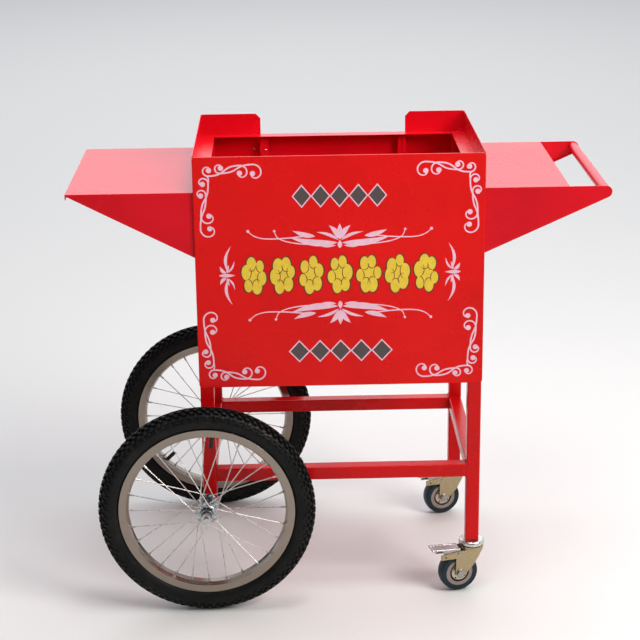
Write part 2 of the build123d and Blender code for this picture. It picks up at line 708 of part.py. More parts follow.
def make_catch():
    """Magnetic catch on the right jamb, and its strike plate on the door's lip."""
    low_z = CATCH_HEIGHT - CATCH_SIZE[2] / 2
    face_y = HALF_DEPTH - DOOR_PAN
    strike_face = face_y - STRIKE_SIZE[1]
    catch_face = strike_face - HINGE_GAP
    with BuildPart() as catch:
        box(
            (JAMB_X - CATCH_SIZE[0], JAMB_X + SHEET),
            (catch_face - CATCH_SIZE[1], catch_face),
            (low_z, low_z + CATCH_SIZE[2]),
        )
        fillet(catch.edges().filter_by(Axis.Z), radius=BEND)
        box(
            (JAMB_X, JAMB_X + 2 * SHEET),
            (HALF_DEPTH - JAMB_RETURN, HALF_DEPTH),
            (low_z, low_z + CATCH_SIZE[2]),
            mode=Mode.SUBTRACT,
        )
    save(catch, "door_catch")

    with BuildPart() as strike:
        strike_x = DOOR_RIGHT - DOOR_LIP / 2
        with BuildSketch(Plane.XZ.offset(-face_y)):
            with Locations((strike_x, CATCH_HEIGHT)):
                RectangleRounded(STRIKE_SIZE[0], STRIKE_SIZE[2], BEND)
        extrude(amount=STRIKE_SIZE[1])
    save(strike, "door_strike")


# ---------------------------------------------------------------- spoked wheels
def wheel_centre(row):
    """Centre of the front or the back wheel."""
    return Vector(WHEEL_X, row * WHEEL_Y, WHEEL_RADIUS)


def revolve_about_axle(row, outline, *details):
    """Turn an outline, drawn as (radius, distance along the axle), about the axle."""
    centre = wheel_centre(row)
    section = outline(Plane(origin=centre, x_dir=(1, 0, 0), z_dir=(0, 0, 1)), *details)
    revolve(section, axis=Axis(centre, (0, 1, 0)))


def face_plane(row):
    """Plane through the wheel's centre, seen from the front: local x is X, local y is Z."""
    return Plane(origin=wheel_centre(row), x_dir=(1, 0, 0), z_dir=(0, -1, 0))


def tyre_half(mirror):
    """Outer and inner line of the casing, and the foot of its bead, on one side."""
    outer = [(radius, mirror * along) for radius, along in TYRE_OUTSIDE]
    inner = [(radius, mirror * along) for radius, along in TYRE_INSIDE]
    foot = ((TYRE_FOOT, outer[0][1]), (TYRE_FOOT, inner[0][1]))
    return outer, inner, foot


def make_tyre(row):
    """Hollow casing with an open foot that sits inside the rim."""
    left_outer, left_inner, left_foot = tyre_half(-1)
    right_outer, right_inner, right_foot = tyre_half(1)

    def outline(plane):
        with BuildSketch(plane) as casing:
            with BuildLine():
                Spline(*left_outer, (WHEEL_RADIUS, 0), *reversed(right_outer))
                Polyline(right_outer[0], right_foot[0], right_foot[1], right_inner[0])
                Spline(*right_inner, (WHEEL_RADIUS - TYRE_WALL, 0), *reversed(left_inner))
                Polyline(left_inner[0], left_foot[1], left_foot[0], left_outer[0])
            make_face()
        return casing.sketch

    with BuildPart() as tyre:
        revolve_about_axle(row, outline)
    save(tyre, f"{SIDE_NAMES[row]}_tyre")


def make_inner_tube(row):
    """Inner tube and its valve stem, which are one moulding."""
    centre = wheel_centre(row)
    angle = math.radians(VALVE_ANGLES[0] if row == FRONT else VALVE_ANGLES[1])
    direction = Vector(math.cos(angle), 0, math.sin(angle))
    stem_start = INNER_TUBE_CENTRE - INNER_TUBE_RADIUS + INNER_TUBE_WALL / 2

    def outline(plane):
        with BuildSketch(plane) as ring:
            with Locations((INNER_TUBE_CENTRE, 0)):
                Circle(INNER_TUBE_RADIUS)
                Circle(INNER_TUBE_RADIUS - INNER_TUBE_WALL, mode=Mode.SUBTRACT)
        return ring.sketch

    with BuildPart() as tube:
        revolve_about_axle(row, outline)
        with BuildSketch(Plane(origin=centre + direction * VALVE_TIP, z_dir=direction)):
            Circle(VALVE_RADIUS)
        extrude(amount=stem_start - VALVE_TIP)
    save(tube, f"{SIDE_NAMES[row]}_inner_tube")


def spoke_lines():
    """Every spoke as (hub point, rim point, flange side, face side), about the origin, axle on Z."""
    pitch = 2 * math.pi / (SPOKE_COUNT / 2)
    lines = []
    for flange in (-1, 1):
        phase = 0 if flange == -1 else pitch / 2
        for index in range(SPOKE_COUNT // 2):
            leaning = 1 if index % 2 == 0 else -1
            hub_angle = phase + index * pitch
            rim_angle = hub_angle + leaning * SPOKE_CROSS * pitch
            face = FLANGE_OFFSET + leaning * (FLANGE_THICKNESS / 2 + SPOKE_FACE_GAP)
            hub_point = Vector(
                SPOKE_CIRCLE * math.cos(hub_angle), SPOKE_CIRCLE * math.sin(hub_angle), flange * face
            )
            rim_point = Vector(
                RIM_MIDDLE * math.cos(rim_angle), RIM_MIDDLE * math.sin(rim_angle), flange * RIM_HOLE_OFFSET
            )
            lines.append((hub_point, rim_point, flange, leaning))
    return lines


def make_rim(row):
    """Channel rim with a hole for each nipple and one for the valve."""
    half = RIM_WIDTH / 2
    inner = half - RIM_WALL
    base = RIM_INNER_RADIUS + RIM_BASE_WALL
    plane = face_plane(row)
    angle = math.radians(VALVE_ANGLES[0] if row == FRONT else VALVE_ANGLES[1])
    valve_way = Vector(math.cos(angle), 0, math.sin(angle))

    def outline(section_plane):
        with BuildSketch(section_plane) as channel:
            with BuildLine():
                Polyline(
                    (RIM_RADIUS, -half),
                    (RIM_INNER_RADIUS + RIM_STEP, -half),
                    (RIM_INNER_RADIUS, -half + 2 * RIM_STEP),
                    (RIM_INNER_RADIUS, half - 2 * RIM_STEP),
                    (RIM_INNER_RADIUS + RIM_STEP, half),
                    (RIM_RADIUS, half),
                    (RIM_RADIUS, inner),
                    (base + RIM_STEP, inner),
                    (base, half - 2 * RIM_STEP - RIM_WALL / 2),
                    (base, -half + 2 * RIM_STEP + RIM_WALL / 2),
                    (base + RIM_STEP, -inner),
                    (RIM_RADIUS, -inner),
                    close=True,
                )
            make_face()
        return channel.sketch

    with BuildPart() as rim:
        revolve_about_axle(row, outline)
        fillet(rim.edges().filter_by(GeomType.CIRCLE).group_by(SortBy.RADIUS)[-1], radius=RIM_EDGE)
        for _, rim_point, _, _ in spoke_lines():
            outward = Vector(rim_point.X, rim_point.Y, 0).normalized()
            start = plane.from_local_coords(rim_point - outward * RIM_STEP)
            aim = plane.from_local_coords(rim_point) - start
            with BuildSketch(Plane(origin=start, z_dir=aim)):
                Circle(NIPPLE_HOLE_RADIUS)
            extrude(amount=2 * RIM_STEP, mode=Mode.SUBTRACT)
        with BuildSketch(Plane(origin=wheel_centre(row) + valve_way * VALVE_TIP, z_dir=valve_way)):
            Circle(VALVE_HOLE_RADIUS)
        extrude(amount=RIM_RADIUS - VALVE_TIP - RIM_STEP, mode=Mode.SUBTRACT)
    save(rim, f"{SIDE_NAMES[row]}_rim")


def make_spokes(row):
    """Bent spokes: each passes through its flange, with its head on the other face."""
    plane = face_plane(row)
    across = FLANGE_THICKNESS + SPOKE_FACE_GAP
    with BuildPart() as spokes:
        for hub_point, rim_point, flange, leaning in spoke_lines():
            start = plane.from_local_coords(hub_point)
            aim = plane.from_local_coords(rim_point) - start
            through = plane.z_dir * (-flange * leaning)
            with Locations(Plane(origin=start, z_dir=aim).location):
                Cylinder(
                    SPOKE_RADIUS,
                    aim.length - SPOKE_SHORT,
                    align=(Align.CENTER, Align.CENTER, Align.MIN),
                )
            with Locations(Plane(origin=start, z_dir=through).location):
                Cylinder(SPOKE_RADIUS, across, align=(Align.CENTER, Align.CENTER, Align.MIN))
                Sphere(SPOKE_RADIUS)
            head_at = start + through * across
            with Locations(Plane(origin=head_at, z_dir=through).location):
                Cylinder(SPOKE_HEAD_RADIUS, SPOKE_RADIUS, align=(Align.CENTER, Align.CENTER, Align.MIN))
    save(spokes, f"{SIDE_NAMES[row]}_spokes")


def make_nipples(row):
    """Nipples along their spokes, with their heads inside the rim."""
    plane = face_plane(row)
    head_start = RIM_BASE_WALL / 2 + NIPPLE_SEAT
    with BuildPart() as nipples:
        for hub_point, rim_point, _, _ in spoke_lines():
            centre = plane.from_local_coords(rim_point)
            aim = (centre - plane.from_local_coords(hub_point)).normalized()
            foot = Plane(origin=centre - aim * (NIPPLE_LENGTH - head_start), z_dir=aim)
            head = Plane(origin=centre + aim * head_start, z_dir=aim)
            with Locations(foot.location):
                Cylinder(NIPPLE_RADIUS, NIPPLE_LENGTH, align=(Align.CENTER, Align.CENTER, Align.MIN))
            with Locations(head.location):
                Cylinder(NIPPLE_HEAD_RADIUS, NIPPLE_RADIUS, align=(Align.CENTER, Align.CENTER, Align.MIN))
            with Locations(foot.location):
                Cylinder(
                    NIPPLE_BORE,
                    2 * NIPPLE_LENGTH,
                    align=(Align.CENTER, Align.CENTER, Align.MIN),
                    mode=Mode.SUBTRACT,
                )
    save(nipples, f"{SIDE_NAMES[row]}_nipples")


def make_hub(row):
    """Hub shell: barrel, two drilled flanges, and a bearing cup in each end."""
    inner_face = FLANGE_OFFSET - FLANGE_THICKNESS / 2
    outer_face = FLANGE_OFFSET + FLANGE_THICKNESS / 2
    cup_floor = HUB_END - CUP_DEPTH
    plane = face_plane(row)
    pitch = 2 * math.pi / (SPOKE_COUNT / 2)

    def outline(section_plane):
        right = [
            (BARREL_RADIUS, inner_face),
            (FLANGE_RADIUS - FLANGE_CHAMFER, inner_face),
            (FLANGE_RADIUS, inner_face + FLANGE_CHAMFER),
            (FLANGE_RADIUS, outer_face - FLANGE_CHAMFER),
            (FLANGE_RADIUS - FLANGE_CHAMFER, outer_face),
            (HUB_END_RADIUS, outer_face),
            (HUB_END_RADIUS, HUB_END),
            (CUP_RADIUS, HUB_END),
            (CUP_RADIUS, cup_floor),
            (HUB_BORE, cup_floor),
        ]
        left = [(radius, -along) for radius, along in reversed(right)]
        with BuildSketch(section_plane) as shell:
            with BuildLine():
                Polyline(*right, *left, close=True)
            make_face()
        return shell.sketch

    with BuildPart() as hub:
        revolve_about_axle(row, outline)
        for flange, phase in ((-1, 0), (1, pitch / 2)):
            with BuildSketch(plane.offset(flange * (FLANGE_OFFSET - FLANGE_THICKNESS))):
                with PolarLocations(SPOKE_CIRCLE, SPOKE_COUNT // 2, start_angle=math.degrees(phase)):
                    Circle(SPOKE_HOLE_RADIUS)
            extrude(amount=flange * 2 * FLANGE_THICKNESS, mode=Mode.SUBTRACT)
    save(hub, f"{SIDE_NAMES[row]}_hub")


def axle_ring(row, start, length, sketch):
    """Extrude a sketch on the axle, from a distance outward of the wheel's centre."""
    outward = Vector(0, row, 0)
    plane = Plane(origin=wheel_centre(row) + outward * start, x_dir=(1, 0, 0), z_dir=outward)
    with BuildSketch(plane) as section:
        sketch()
    extrude(section.sketch, amount=length)


def make_axle_pieces():
    """Axles, cones, balls, nuts and washers of both wheels, all fixed to the legs."""
    nut_start = CONE_END
    outer_end = nut_start + AXLE_NUT_HEIGHT + AXLE_WASHER + AXLE_END
    leg_outer = WHEEL_Y - LEG_Y - TUBE / 2
    leg_inner = leg_outer + TUBE
    last_nut_start = -leg_inner - AXLE_WASHER - AXLE_NUT_HEIGHT
    inner_end = AXLE_END - last_nut_start

    def axle_sketch():
        Circle(AXLE_RADIUS)

    def nut_sketch():
        RegularPolygon(hex_radius(AXLE_NUT_HEX), 6)
        Circle(AXLE_RADIUS + RUNNING_CLEARANCE, mode=Mode.SUBTRACT)

    def washer_sketch():
        Circle(AXLE_WASHER_RADIUS)
        Circle(AXLE_RADIUS + RUNNING_CLEARANCE, mode=Mode.SUBTRACT)

    with BuildPart() as axles:
        for row in (FRONT, BACK):
            axle_ring(row, -inner_end, inner_end + outer_end, axle_sketch)
    save(axles, "wheel_axles")

    def cone_outline(plane, side):
        bore = AXLE_RADIUS + RUNNING_CLEARANCE
        with BuildSketch(plane) as cone:
            with BuildLine():
                Polyline(
                    (bore, side * CONE_START),
                    (CONE_NECK_RADIUS, side * CONE_START),
                    (CONE_NECK_RADIUS, side * CONE_SHOULDER),
                    (CONE_RADIUS, side * (CONE_SHOULDER + CONE_TAPER)),
                    (CONE_RADIUS, side * CONE_END),
                    (bore, side * CONE_END),
                    close=True,
                )
            make_face()
        return cone.sketch

    with BuildPart() as cones:
        for row in (FRONT, BACK):
            for side in (-1, 1):
                revolve_about_axle(row, cone_outline, side)
    save(cones, "hub_cones")

    with BuildPart() as balls:
        for row in (FRONT, BACK):
            for side in (-1, 1):
                with Locations(face_plane(row).offset(side * BALL_OFFSET).location):
                    with PolarLocations(BALL_CIRCLE, BALL_COUNT):
                        Sphere(BALL_RADIUS)
    save(balls, "hub_balls")

    with BuildPart() as nuts:
        for row in (FRONT, BACK):
            for start in (nut_start, -nut_start - AXLE_NUT_HEIGHT, last_nut_start):
                axle_ring(row, start, AXLE_NUT_HEIGHT, nut_sketch)
    save(nuts, "axle_nuts")

    with BuildPart() as washers:
        for row in (FRONT, BACK):
            axle_ring(row, -leg_inner - AXLE_WASHER, AXLE_WASHER, washer_sketch)
            gap = leg_outer - nut_start - AXLE_NUT_HEIGHT
            axle_ring(row, -leg_outer, gap, washer_sketch)
    save(washers, "axle_washers")


# ---------------------------------------------------------------- casters
def caster_base(row):
    """Floor point under the kingpin; local x is the trail's direction, local z is up."""
    return Plane(origin=(LEG_X, row * LEG_Y, 0), x_dir=TRAIL, z_dir=(0, 0, 1))


def caster_side(row):
    """Upright plane through the kingpin: local x is the trail's direction, local y is height."""
    base = caster_base(row)
    return Plane(origin=base.origin, x_dir=base.x_dir, z_dir=-base.y_dir)


def revolve_about_caster_axle(row, outline):
    """Turn an outline, drawn as (radius, distance along the axle), about the caster's axle."""
    base = caster_base(row)
    centre = base.from_local_coords(Vector(CASTER_TRAIL, 0, CASTER_RADIUS))
    section = outline(Plane(origin=centre, x_dir=base.x_dir, z_dir=(0, 0, 1)))
    revolve(section, axis=Axis(centre, base.y_dir))


def make_caster_wheel(row, name):
    """Tread and core."""
    half = TREAD_WIDTH / 2

    def tread_outline(plane):
        shoulder = CASTER_RADIUS - TREAD_SHOULDER
        with BuildSketch(plane) as ring:
            with BuildLine():
                Polyline((shoulder, half), (TREAD_INNER, half), (TREAD_INNER, -half), (shoulder, -half))
                ThreePointArc((shoulder, -half), (CASTER_RADIUS, 0), (shoulder, half))
            make_face()
        return ring.sketch

    with BuildPart() as tread:
        revolve_about_caster_axle(row, tread_outline)
        corners = tread.edges().filter_by(GeomType.CIRCLE).group_by(SortBy.RADIUS)[-1]
        fillet(corners, radius=TREAD_SHOULDER)
    save(tread, f"{name}_tread")

    def core_outline(plane):
        bore = CASTER_AXLE_RADIUS + RUNNING_CLEARANCE
        right = [
            (TREAD_INNER, half - CORE_EDGE),
            (CORE_WEB_OUTER, half - CORE_EDGE),
            (CORE_WEB_OUTER, CORE_WEB_HALF),
            (CORE_HUB_RADIUS, CORE_WEB_HALF),
            (CORE_HUB_RADIUS, CORE_HUB_HALF),
            (bore, CORE_HUB_HALF),
        ]
        left = [(radius, -along) for radius, along in reversed(right)]
        with BuildSketch(plane) as section:
            with BuildLine():
                Polyline(*right, *left, close=True)
            make_face()
        return section.sketch

    with BuildPart() as core:
        revolve_about_caster_axle(row, core_outline)
    save(core, f"{name}_core")


def make_caster_fork(row, name):
    """Fork: round head, two cheeks that reach the axle, and a band that carries the pedal."""
    side = caster_side(row)
    base = caster_base(row)
    axle = (CASTER_TRAIL, CASTER_RADIUS)

    def on_tip(angle):
        turn = math.radians(angle)
        return (axle[0] + CHEEK_TIP * math.cos(turn), axle[1] + CHEEK_TIP * math.sin(turn))

    def cheek_outline(plane):
        with BuildSketch(plane) as cheek:
            with BuildLine():
                Polyline(
                    on_tip(0),
                    (axle[0] + CHEEK_TIP, FORK_BAND_BOTTOM),
                    (FORK_BAND_END, FORK_BAND_BOTTOM),
                    (FORK_BAND_END, FORK_BAND_TOP),
                    (FORK_HEAD_RADIUS, FORK_HEAD_BOTTOM),
                    (FORK_SHOULDER, FORK_HEAD_BOTTOM),
                    FORK_KNEE,
                    on_tip(CHEEK_TIP_START),
                )
                ThreePointArc(on_tip(CHEEK_TIP_START), on_tip((CHEEK_TIP_START + 360) / 2), on_tip(0))
            make_face()
            with Locations(axle):
                Circle(CASTER_AXLE_RADIUS + RUNNING_CLEARANCE, mode=Mode.SUBTRACT)
            with Locations(PEDAL_PIVOT):
                Circle(PEDAL_PIN_RADIUS + RUNNING_CLEARANCE, mode=Mode.SUBTRACT)
        return cheek.sketch

    with BuildPart() as fork:
        with BuildSketch(base.offset(FORK_HEAD_BOTTOM)):
            Circle(FORK_HEAD_RADIUS)
        extrude(amount=FORK_HEAD_TOP - FORK_HEAD_BOTTOM)
        for start in (CHEEK_INNER, -CHEEK_INNER - CHEEK):
            extrude(cheek_outline(side.offset(start)), amount=CHEEK)
        with BuildSketch(base.offset(FORK_HEAD_BOTTOM)):
            Circle(STEM_RADIUS + RUNNING_CLEARANCE)
        extrude(amount=FORK_HEAD_TOP, mode=Mode.SUBTRACT)
    save(fork, f"{name}_fork")

    outer = CHEEK_INNER + CHEEK
    with BuildPart() as axle_bolt:
        with BuildSketch(side.offset(-outer - BOLT_HEAD)):
            with Locations(axle):
                RegularPolygon(hex_radius(CASTER_BOLT_HEX), 6)
        extrude(amount=BOLT_HEAD)
        with BuildSketch(side.offset(-outer)):
            with Locations(axle):
                Circle(CASTER_AXLE_RADIUS)
        extrude(amount=2 * outer + NUT_HEIGHT + CASTER_AXLE_END)
        with BuildSketch(side.offset(outer)):
            with Locations(axle):
                RegularPolygon(hex_radius(CASTER_BOLT_HEX), 6)
                Circle(CASTER_AXLE_RADIUS + RUNNING_CLEARANCE, mode=Mode.SUBTRACT)
        extrude(amount=NUT_HEIGHT)
    save(axle_bolt, f"{name}_axle")


def make_caster_pedal(row, name):
    """Brake pedal: ridged plate, two side flanges on the pivot pin, and the shoe."""
    side = caster_side(row)
    slope = PEDAL_RISE / (PEDAL_TIP - PEDAL_START)

    def under(along):
        return PEDAL_BASE + slope * (along - PEDAL_START)

    with BuildPart() as pedal:
        with BuildSketch(side.offset(-PEDAL_HALF_WIDTH)):
            with BuildLine():
                Polyline(
                    (PEDAL_START, under(PEDAL_START)),
                    (PEDAL_TIP, under(PEDAL_TIP)),
                    (PEDAL_TIP, under(PEDAL_TIP) + PEDAL_SHEET),
                    (PEDAL_START, under(PEDAL_START) + PEDAL_SHEET),
                    close=True,
                )
            make_face()
            ridge_space = (PEDAL_TIP - SHOE_CENTRE) / (PEDAL_RIDGES + 1)
            for index in range(PEDAL_RIDGES):
                along = SHOE_CENTRE + (index + 1) * ridge_space
                with Locations((along, under(along) + PEDAL_SHEET)):
                    Circle(PEDAL_SHEET / 2)
        extrude(amount=2 * PEDAL_HALF_WIDTH)
        for start in (-PEDAL_HALF_WIDTH, PEDAL_HALF_WIDTH - PEDAL_SHEET / 2):
            with BuildSketch(side.offset(start)):
                with BuildLine():
                    Polyline(
                        (PEDAL_START, under(PEDAL_START)),
                        (PEDAL_START, PEDAL_FLANGE_BOTTOM),
                        (SHOE_CENTRE + SHOE_LENGTH, PEDAL_FLANGE_BOTTOM),
                        (SHOE_CENTRE + 2 * SHOE_LENGTH, under(SHOE_CENTRE + 2 * SHOE_LENGTH)),
                        close=True,
                    )
                make_face()
            extrude(amount=PEDAL_SHEET / 2)
        with BuildSketch(side.offset(-PEDAL_HALF_WIDTH + PEDAL_SHEET)):
            with BuildLine():
                Polyline(
                    (SHOE_CENTRE, under(SHOE_CENTRE) + PEDAL_SHEET / 2),
                    (SHOE_CENTRE - PEDAL_SHEET, SHOE_BOTTOM),
                    (SHOE_CENTRE + SHOE_LENGTH - PEDAL_SHEET, SHOE_BOTTOM - PEDAL_SHEET),
                    (SHOE_CENTRE + SHOE_LENGTH, under(SHOE_CENTRE) + PEDAL_SHEET / 2),
                    close=True,
                )
            make_face()
        extrude(amount=2 * (PEDAL_HALF_WIDTH - PEDAL_SHEET))
        with BuildSketch(side):
            with Locations(PEDAL_PIVOT):
                Circle(PEDAL_PIN_RADIUS)
        extrude(amount=CHEEK_INNER + CHEEK + PEDAL_SHEET / 2, both=True)
    save(pedal, f"{name}_pedal")


def make_caster_fixings():
    """Stems, race rings and leg inserts of both casters, all fixed to the legs."""
    insert_bottom = CASTER_LEG_BOTTOM - INSERT_FLANGE
    plug = TUBE - 2 * TUBE_WALL - 2 * INSERT_FIT
    with BuildPart() as stems:
        for row in (FRONT, BACK):
            base = caster_base(row)
            with BuildSketch(base.offset(FORK_HEAD_BOTTOM - STEM_HEAD - STEM_GAP)):
                Circle(STEM_HEAD_RADIUS)
            extrude(amount=STEM_HEAD)
            with BuildSketch(base.offset(FORK_HEAD_BOTTOM - STEM_HEAD)):
                Circle(STEM_RADIUS)
            extrude(amount=STEM_TOP - FORK_HEAD_BOTTOM + STEM_HEAD)
    save(stems, "caster_stems")

    with BuildPart() as races:
        for row in (FRONT, BACK):
            base = caster_base(row)
            with BuildSketch(base.offset(RACE_BOTTOM)):
                Circle(RACE_RADIUS)
                Circle(STEM_RADIUS + RUNNING_CLEARANCE, mode=Mode.SUBTRACT)
            extrude(amount=insert_bottom - RACE_BOTTOM)
        outer_edges = races.edges().filter_by(GeomType.CIRCLE).group_by(SortBy.RADIUS)[-1]
        fillet(outer_edges, radius=RACE_EDGE)
    save(races, "caster_races")

    with BuildPart() as inserts:
        for row in (FRONT, BACK):
            centre = (LEG_X, row * LEG_Y)
            with BuildSketch(Plane.XY.offset(insert_bottom)):
                with Locations(centre):
                    RectangleRounded(TUBE, TUBE, TUBE_CORNER)
            extrude(amount=INSERT_FLANGE)
            with BuildSketch(Plane.XY.offset(CASTER_LEG_BOTTOM)):
                with Locations(centre):
                    RectangleRounded(plug, plug, TUBE_CORNER - TUBE_WALL)
            extrude(amount=INSERT_HEIGHT)
            with BuildSketch(Plane.XY.offset(insert_bottom)):
                with Locations(centre):
                    Circle(STEM_RADIUS + RUNNING_CLEARANCE)
            extrude(amount=2 * INSERT_HEIGHT, mode=Mode.SUBTRACT)
    save(inserts, "leg_inserts")


# ---------------------------------------------------------------- the whole cart
make_front_panel()
make_side_panel(LEFT, "left_side_panel")
make_side_panel(RIGHT, "right_side_panel")
make_rear_corner_panel(LEFT, "rear_left_panel")
make_rear_corner_panel(RIGHT, "rear_right_panel")
make_rear_sill()
make_ledge_frame()
make_cabinet_floor()

for leg_row in (FRONT, BACK):
    make_leg(LEFT, leg_row, WHEEL_LEG_BOTTOM, f"{SIDE_NAMES[leg_row]}_left_leg")
    make_leg(RIGHT, leg_row, CASTER_LEG_BOTTOM, f"{SIDE_NAMES[leg_row]}_right_leg")
make_stretchers()

make_left_shelf()
make_handle_bracket()
make_bracket_fasteners()

make_rear_door()
make_hinges()
make_hinge_rivets(-JAMB_X - SHEET, -1, "hinge_frame_rivets")
make_hinge_rivets(DOOR_LEFT + SHEET, 1, "hinge_door_rivets")
make_catch()

for wheel_row in (FRONT, BACK):
    make_tyre(wheel_row)
    make_inner_tube(wheel_row)
    make_rim(wheel_row)
    make_spokes(wheel_row)
    make_nipples(wheel_row)
    make_hub(wheel_row)
    make_caster_wheel(wheel_row, f"{SIDE_NAMES[wheel_row]}_caster")
    make_caster_fork(wheel_row, f"{SIDE_NAMES[wheel_row]}_caster")
    make_caster_pedal(wheel_row, f"{SIDE_NAMES[wheel_row]}_caster")
make_axle_pieces()
make_caster_fixings()
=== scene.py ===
import math
import random

import bmesh
import bpy
from mathutils import Matrix, Vector


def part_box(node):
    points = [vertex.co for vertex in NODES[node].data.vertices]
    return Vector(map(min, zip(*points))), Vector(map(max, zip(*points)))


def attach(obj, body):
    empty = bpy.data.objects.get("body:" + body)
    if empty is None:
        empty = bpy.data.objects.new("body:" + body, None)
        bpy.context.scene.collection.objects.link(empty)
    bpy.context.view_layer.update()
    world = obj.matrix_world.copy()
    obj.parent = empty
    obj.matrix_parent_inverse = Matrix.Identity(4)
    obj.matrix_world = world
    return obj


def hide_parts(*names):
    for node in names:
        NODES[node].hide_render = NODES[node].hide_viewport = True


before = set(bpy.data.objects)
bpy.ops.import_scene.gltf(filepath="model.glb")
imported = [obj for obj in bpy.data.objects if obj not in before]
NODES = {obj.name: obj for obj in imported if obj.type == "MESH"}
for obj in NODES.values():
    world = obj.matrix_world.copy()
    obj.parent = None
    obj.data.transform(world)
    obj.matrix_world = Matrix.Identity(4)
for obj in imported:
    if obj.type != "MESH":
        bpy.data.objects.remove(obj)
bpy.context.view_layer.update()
MM = 0.001
# The outer face of the front panel, as a y value.
FRONT_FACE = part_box("front_panel")[0].y
# The printed film on the front panel: heights off it of the film's back and of its three layers of ink.
INK_LOW = 0.00002
INK_HIGH = 0.00012
INK_TOP = 0.00020
INK_LINES = 0.00024
# Each printed shape stands this much above the last, so that crossing ones never share a plane.
INK_STEP = 4e-7


# ------------------------------------------------------------------ camera, floor and light
def make_camera():
    """A long lens at standing height, a little left of the middle, looking down 18 degrees."""
    pitch, yaw, roll = (math.radians(a) for a in (18.10, 1.07, 0.72))
    forward = Vector((math.sin(yaw) * math.cos(pitch), math.cos(yaw) * math.cos(pitch), -math.sin(pitch)))
    level = Vector((math.cos(yaw), -math.sin(yaw), 0))
    down = forward.cross(level)
    right = math.cos(roll) * level + math.sin(roll) * down
    low = -math.sin(roll) * level + math.cos(roll) * down
    data = bpy.data.cameras.new("camera")
    data.sensor_width = 36.0
    data.lens = 96.75
    data.shift_x = 0.0014
    data.shift_y = -0.0117
    data.clip_start, data.clip_end = 0.1, 60.0
    camera = bpy.data.objects.new("camera", data)
    bpy.context.scene.collection.objects.link(camera)
    turn = Matrix((right, -low, -forward)).transposed().to_4x4()
    eye = (-0.09365, -3.1387, 1.5251)
    camera.matrix_world = Matrix.Translation(eye) @ turn
    bpy.context.scene.camera = camera


def area_light(name, place, target, size, power, colour=(1, 1, 1)):
    """A square soft box aimed at a point, its power in watts."""
    data = bpy.data.lights.new(name, "AREA")
    data.shape = "SQUARE"
    data.size = size
    data.energy = power
    data.color = colour
    lamp = bpy.data.objects.new(name, data)
    bpy.context.scene.collection.objects.link(lamp)
    lamp.location = place
    lamp.rotation_mode = "QUATERNION"
    lamp.rotation_quaternion = (Vector(target) - Vector(place)).to_track_quat("-Z", "Y")


def make_stage():
    """Pale floor, pale surroundings and soft boxes."""
    bm = bmesh.new()
    reach = 24.0
    drop = 0.0004
    signs = ((-1, -1), (1, -1), (1, 1), (-1, 1))
    bm.faces.new([bm.verts.new((x * reach, y * reach, -drop)) for x, y in signs])
    mesh = bpy.data.meshes.new("floor")
    bm.to_mesh(mesh)
    bm.free()
    floor = bpy.data.objects.new("floor", mesh)
    bpy.context.scene.collection.objects.link(floor)
    material = bpy.data.materials.new("floor")
    material.use_nodes = True
    shader = material.node_tree.nodes["Principled BSDF"]
    shader.inputs["Base Color"].default_value = (0.72, 0.705, 0.68, 1)
    shader.inputs["Roughness"].default_value = 0.6
    mesh.materials.append(material)

    # Darker behind the camera, brighter behind the cart.
    world = bpy.data.worlds.new("world")
    bpy.context.scene.world = world
    world.use_nodes = True
    tree = world.node_tree
    background = tree.nodes["Background"]
    direction = tree.nodes.new("ShaderNodeTexCoord").outputs["Generated"]
    parts = tree.nodes.new("ShaderNodeSeparateXYZ")
    tree.links.new(direction, parts.inputs[0])
    depth = tree.nodes.new("ShaderNodeMapRange")
    depth.inputs["From Min"].default_value = -1.0
    tree.links.new(parts.outputs["Y"], depth.inputs["Value"])
    ramp = tree.nodes.new("ShaderNodeValToRGB")
    stops = ((0.0, (0.10, 0.10, 0.11)), (0.42, (0.22, 0.22, 0.23)), (0.62, (0.96, 1.00, 1.08)))
    elements = ramp.color_ramp.elements
    elements.new(0.5)
    for element, (position, colour) in zip(elements, stops):
        element.position = position
        element.color = (*colour, 1.0)
    tree.links.new(depth.outputs["Result"], ramp.inputs["Fac"])
    tree.links.new(ramp.outputs["Color"], background.inputs["Color"])
    background.inputs["Strength"].default_value = 1.0
    area_light("key", (2.10, -1.75, 2.5), (0.05, 0.0, 0.5), 1.4, 86, (1.0, 0.985, 0.96))
    area_light("fill", (-2.4, -3.0, 2.6), (0.0, 0.0, 0.4), 2.2, 7, (0.95, 0.97, 1.0))
    area_light("top", (0.5, 0.9, 3.4), (0.1, 0.0, 0.6), 2.4, 32)
    area_light("inside", (0.10, -0.42, 1.95), (0.0, 0.22, 0.75), 0.5, 9.0, (1.0, 0.96, 0.96))
    area_light("far", (0.0, 5.4, 3.4), (0.0, 5.6, 0.0), 5.0, 75, (0.96, 0.98, 1.0))
    bpy.context.scene.view_settings.view_transform = "Standard"


